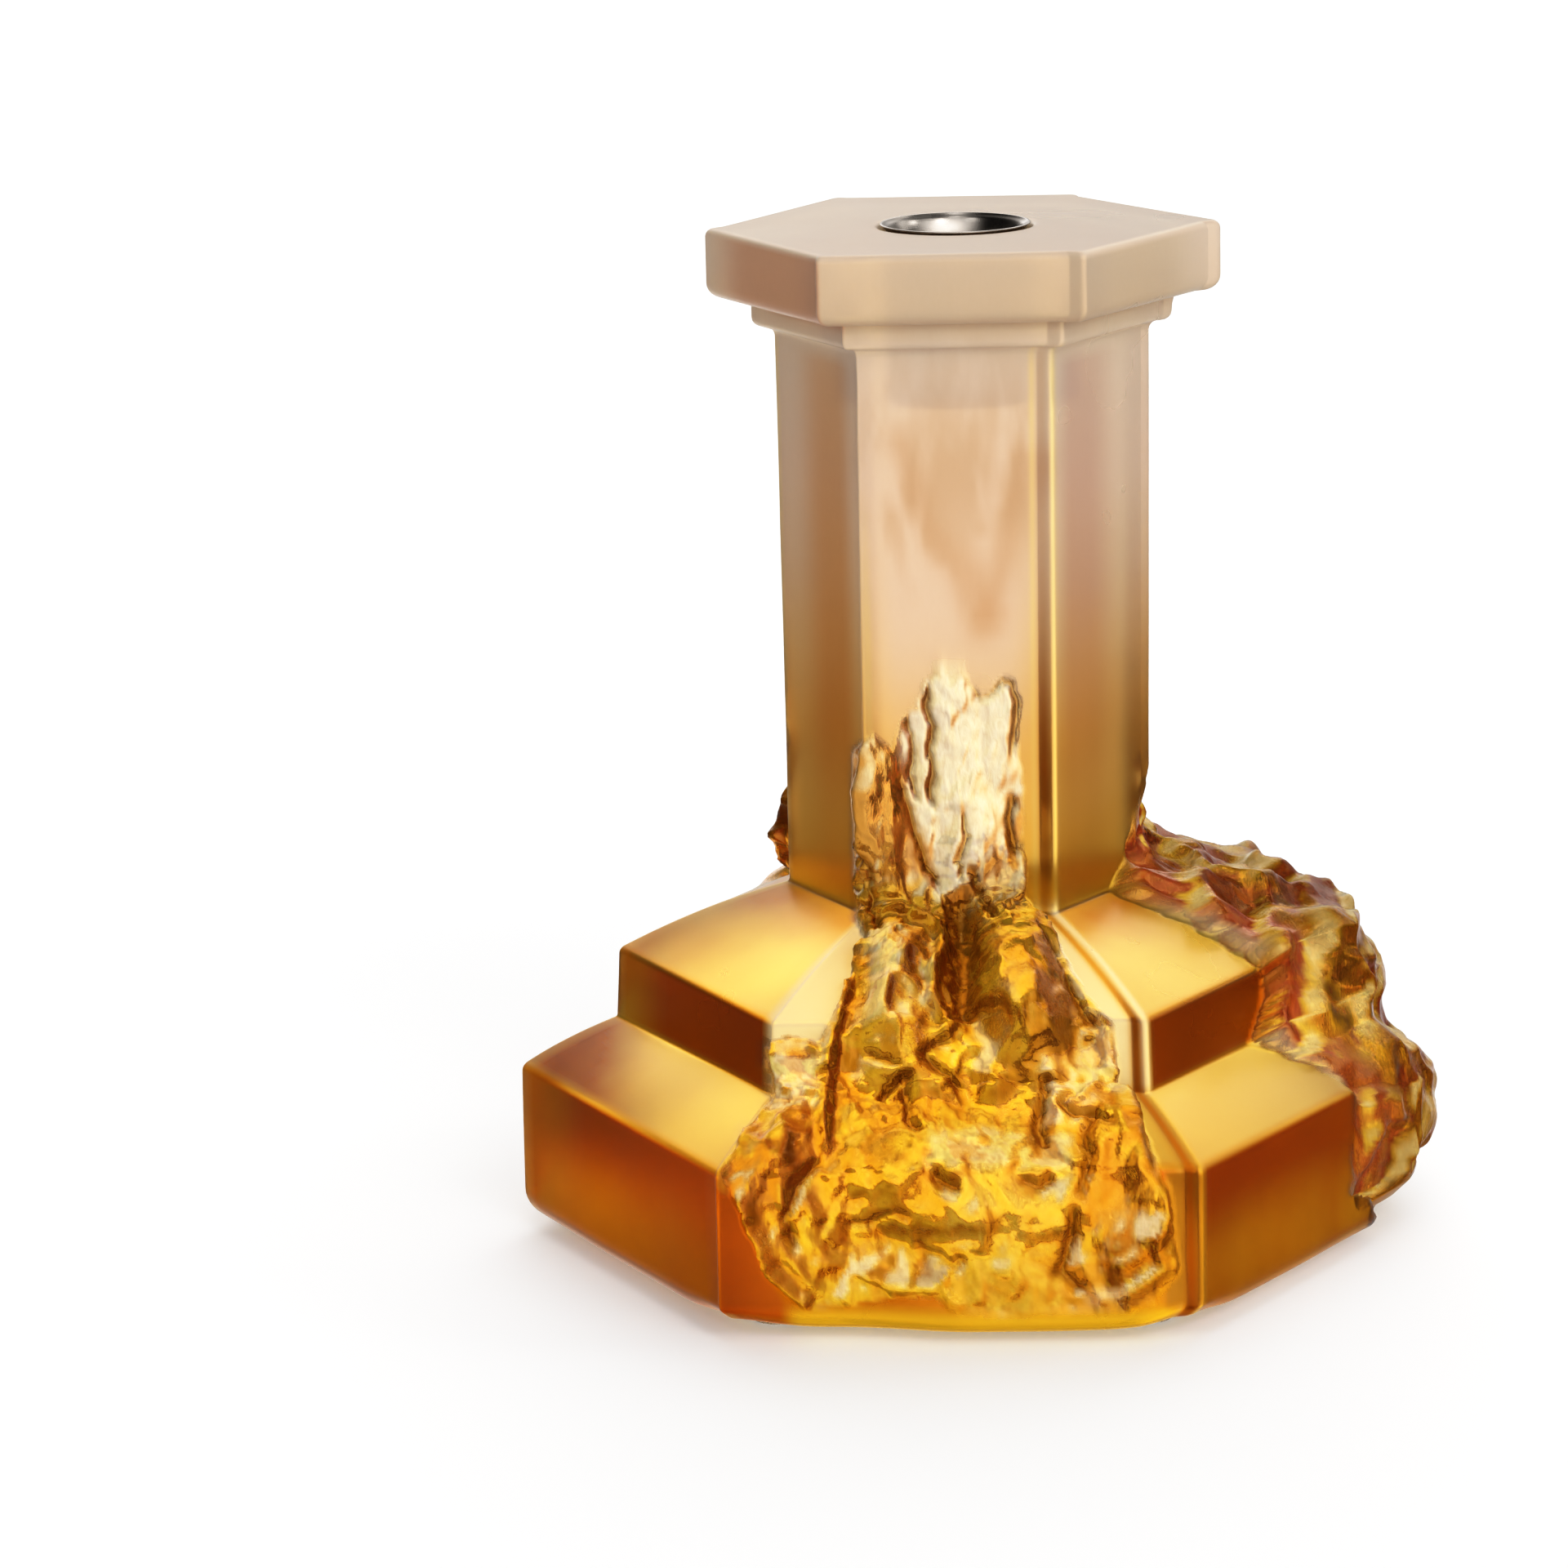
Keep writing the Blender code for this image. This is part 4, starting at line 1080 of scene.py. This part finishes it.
# a plain white cyclorama closes the studio behind the floor; it lights nothing
rings, sides, dome_r = 13, 48, 7.9
dome_v = [(dome_r * math.cos(0.5 * math.pi * k / rings) * math.cos(2 * math.pi * j / sides),
           dome_r * math.cos(0.5 * math.pi * k / rings) * math.sin(2 * math.pi * j / sides),
           dome_r * math.sin(0.5 * math.pi * k / rings) - 0.02) for k in range(rings) for j in range(sides)]
dome_f = [(k * sides + j, k * sides + (j + 1) % sides, (k + 1) * sides + (j + 1) % sides, (k + 1) * sides + j)
          for k in range(rings - 1) for j in range(sides)]
dome_v.append((0.0, 0.0, dome_r - 0.02))
dome_f += [((rings - 1) * sides + j, (rings - 1) * sides + (j + 1) % sides, len(dome_v) - 1) for j in range(sides)]
dome_m = bpy.data.meshes.new("studio_backdrop")
dome_m.from_pydata(dome_v, [], dome_f)
dome_m.update()
dome = bpy.data.objects.new("studio_backdrop", dome_m)
bpy.context.scene.collection.objects.link(dome)
bm_, nt = new_material("backdrop_white")
L = nt.links.new
out = node(nt, "ShaderNodeOutputMaterial")
bsdf = node(nt, "ShaderNodeBsdfPrincipled")
bsdf.inputs["Base Color"].default_value = (0.0, 0.0, 0.0, 1)
bsdf.inputs["Specular IOR Level"].default_value = 0.0
bsdf.inputs["Emission Color"].default_value = (1, 1, 1, 1)
bsdf.inputs["Emission Strength"].default_value = 1.0
L(bsdf.outputs[0], out.inputs["Surface"])
dome.data.materials.append(bm_)
for kind in ("diffuse", "glossy", "transmission", "volume_scatter", "shadow"):
    setattr(dome, "visible_" + kind, False)

world_ = bpy.data.worlds.new("studio") if not bpy.context.scene.world else bpy.context.scene.world
bpy.context.scene.world = world_
world_.use_nodes = True
bg = world_.node_tree.nodes.get("Background") or world_.node_tree.nodes.new("ShaderNodeBackground")
bg.inputs["Color"].default_value = (1.0, 1.0, 1.0, 1)
wo = next((n for n in world_.node_tree.nodes if n.type == "OUTPUT_WORLD"), None) or world_.node_tree.nodes.new("ShaderNodeOutputWorld")
world_.node_tree.links.new(bg.outputs[0], wo.inputs[0])
wt = world_.node_tree
direction = node(wt, "ShaderNodeTexCoord")
# big soft sources all round: (turn from straight behind, height, sharpness, strength)
LOBES = [(145, 18, 8, 2.35), (180, 14, 8, 2.1), (20, 35, 14, 1.90), (180, -30, 8, 0.8), (-20, -14, 20, 1.4),
         (0, 62, 10, 1.40), (-20, 12, 30, 1.30), (-20, 35, 14, 1.0), (20, -14, 20, 0.8), (105, -20, 8, 0.27),
         (0, -40, 10, 0.23), (60, 12, 30, 0.17),
         (150, 38, 220, 8.0), (-148, 42, 260, 6.0), (95, 30, 200, 6.0), (180, 66, 120, 4.0)]
total = 0.02
for turn_, high_, sharp_, strong_ in LOBES:
    ta, te = math.radians(turn_), math.radians(high_)
    dot = wt.nodes.new("ShaderNodeVectorMath")
    dot.operation = "DOT_PRODUCT"
    wt.links.new(direction.outputs["Generated"], dot.inputs[0])
    dot.inputs[1].default_value = (math.sin(ta) * math.cos(te), math.cos(ta) * math.cos(te), math.sin(te))
    lobe = maths(wt, "POWER", maths(wt, "MAXIMUM", dot.outputs["Value"], 0.0), float(sharp_))
    total = maths(wt, "MULTIPLY_ADD", lobe, float(strong_), total)
wt.links.new(total, bg.inputs["Strength"])


sun = bpy.data.lights.new("key", "SUN")
sun.energy = 0.35
sun.angle = math.radians(35.0)
sun_ob = bpy.data.objects.new("key", sun)
bpy.context.scene.collection.objects.link(sun_ob)
sun_ob.rotation_euler = Vector((1.0, 0.30, 0.55)).to_track_quat("Z", "Y").to_euler()

scene = bpy.context.scene
scene.view_settings.view_transform = "Standard"
scene.view_settings.look = "None"
scene.view_settings.use_curve_mapping = True
curve = scene.view_settings.curve_mapping.curves[3]
for cx_, cy_ in ((0.04, 0.017), (0.20, 0.155), (0.50, 0.52), (0.80, 0.87)):
    curve.points.new(cx_, cy_)
scene.view_settings.curve_mapping.update()
scene.cycles.max_bounces = 24
scene.cycles.transmission_bounces = 24
scene.cycles.glossy_bounces = 8
scene.cycles.diffuse_bounces = 4

cam_data = bpy.data.cameras.new("camera")
cam = bpy.data.objects.new("camera", cam_data)
scene.collection.objects.link(cam)
scene.camera = cam
F_PX, DIST, EL, AZ, ROLL = 7506.66, 1132.51 * MM, 12.8, 1.55, -0.83
CX, CY = 1179.22, 941.44
e, az, ro = (math.radians(v) for v in (EL, AZ, ROLL))
back = Vector((math.sin(az) * math.cos(e), -math.cos(az) * math.cos(e), math.sin(e)))
look = Vector((AXIS[0], AXIS[1], GZ + (84.67 + 1.2) * MM))
right = (-back).cross(Vector((0, 0, 1))).normalized()
up = right.cross(-back)
right, up = right * math.cos(ro) + up * math.sin(ro), up * math.cos(ro) - right * math.sin(ro)
cam.location = look + back * DIST
# turn the camera so that the stand sits right of the middle, to leave the wider clear space on the left
yaw = math.atan((CX - 960.0) / F_PX)
pitch = math.atan((CY - 960.0) / F_PX)
R = Matrix((right, up, back)).transposed()
R = R @ Matrix.Rotation(yaw, 3, "Y") @ Matrix.Rotation(pitch, 3, "X")
cam.rotation_euler = R.to_euler()
cam_data.sensor_width = 36.0
cam_data.lens = F_PX / 1920.0 * 36.0
cam_data.clip_start = 0.01
cam_data.clip_end = 50.0
cam_data.dof.use_dof = False

# =====================================================================
# hand over
# =====================================================================
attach(glass, "stand")
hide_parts("glass_body")
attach(cup, "cup")
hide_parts("candle_cup")
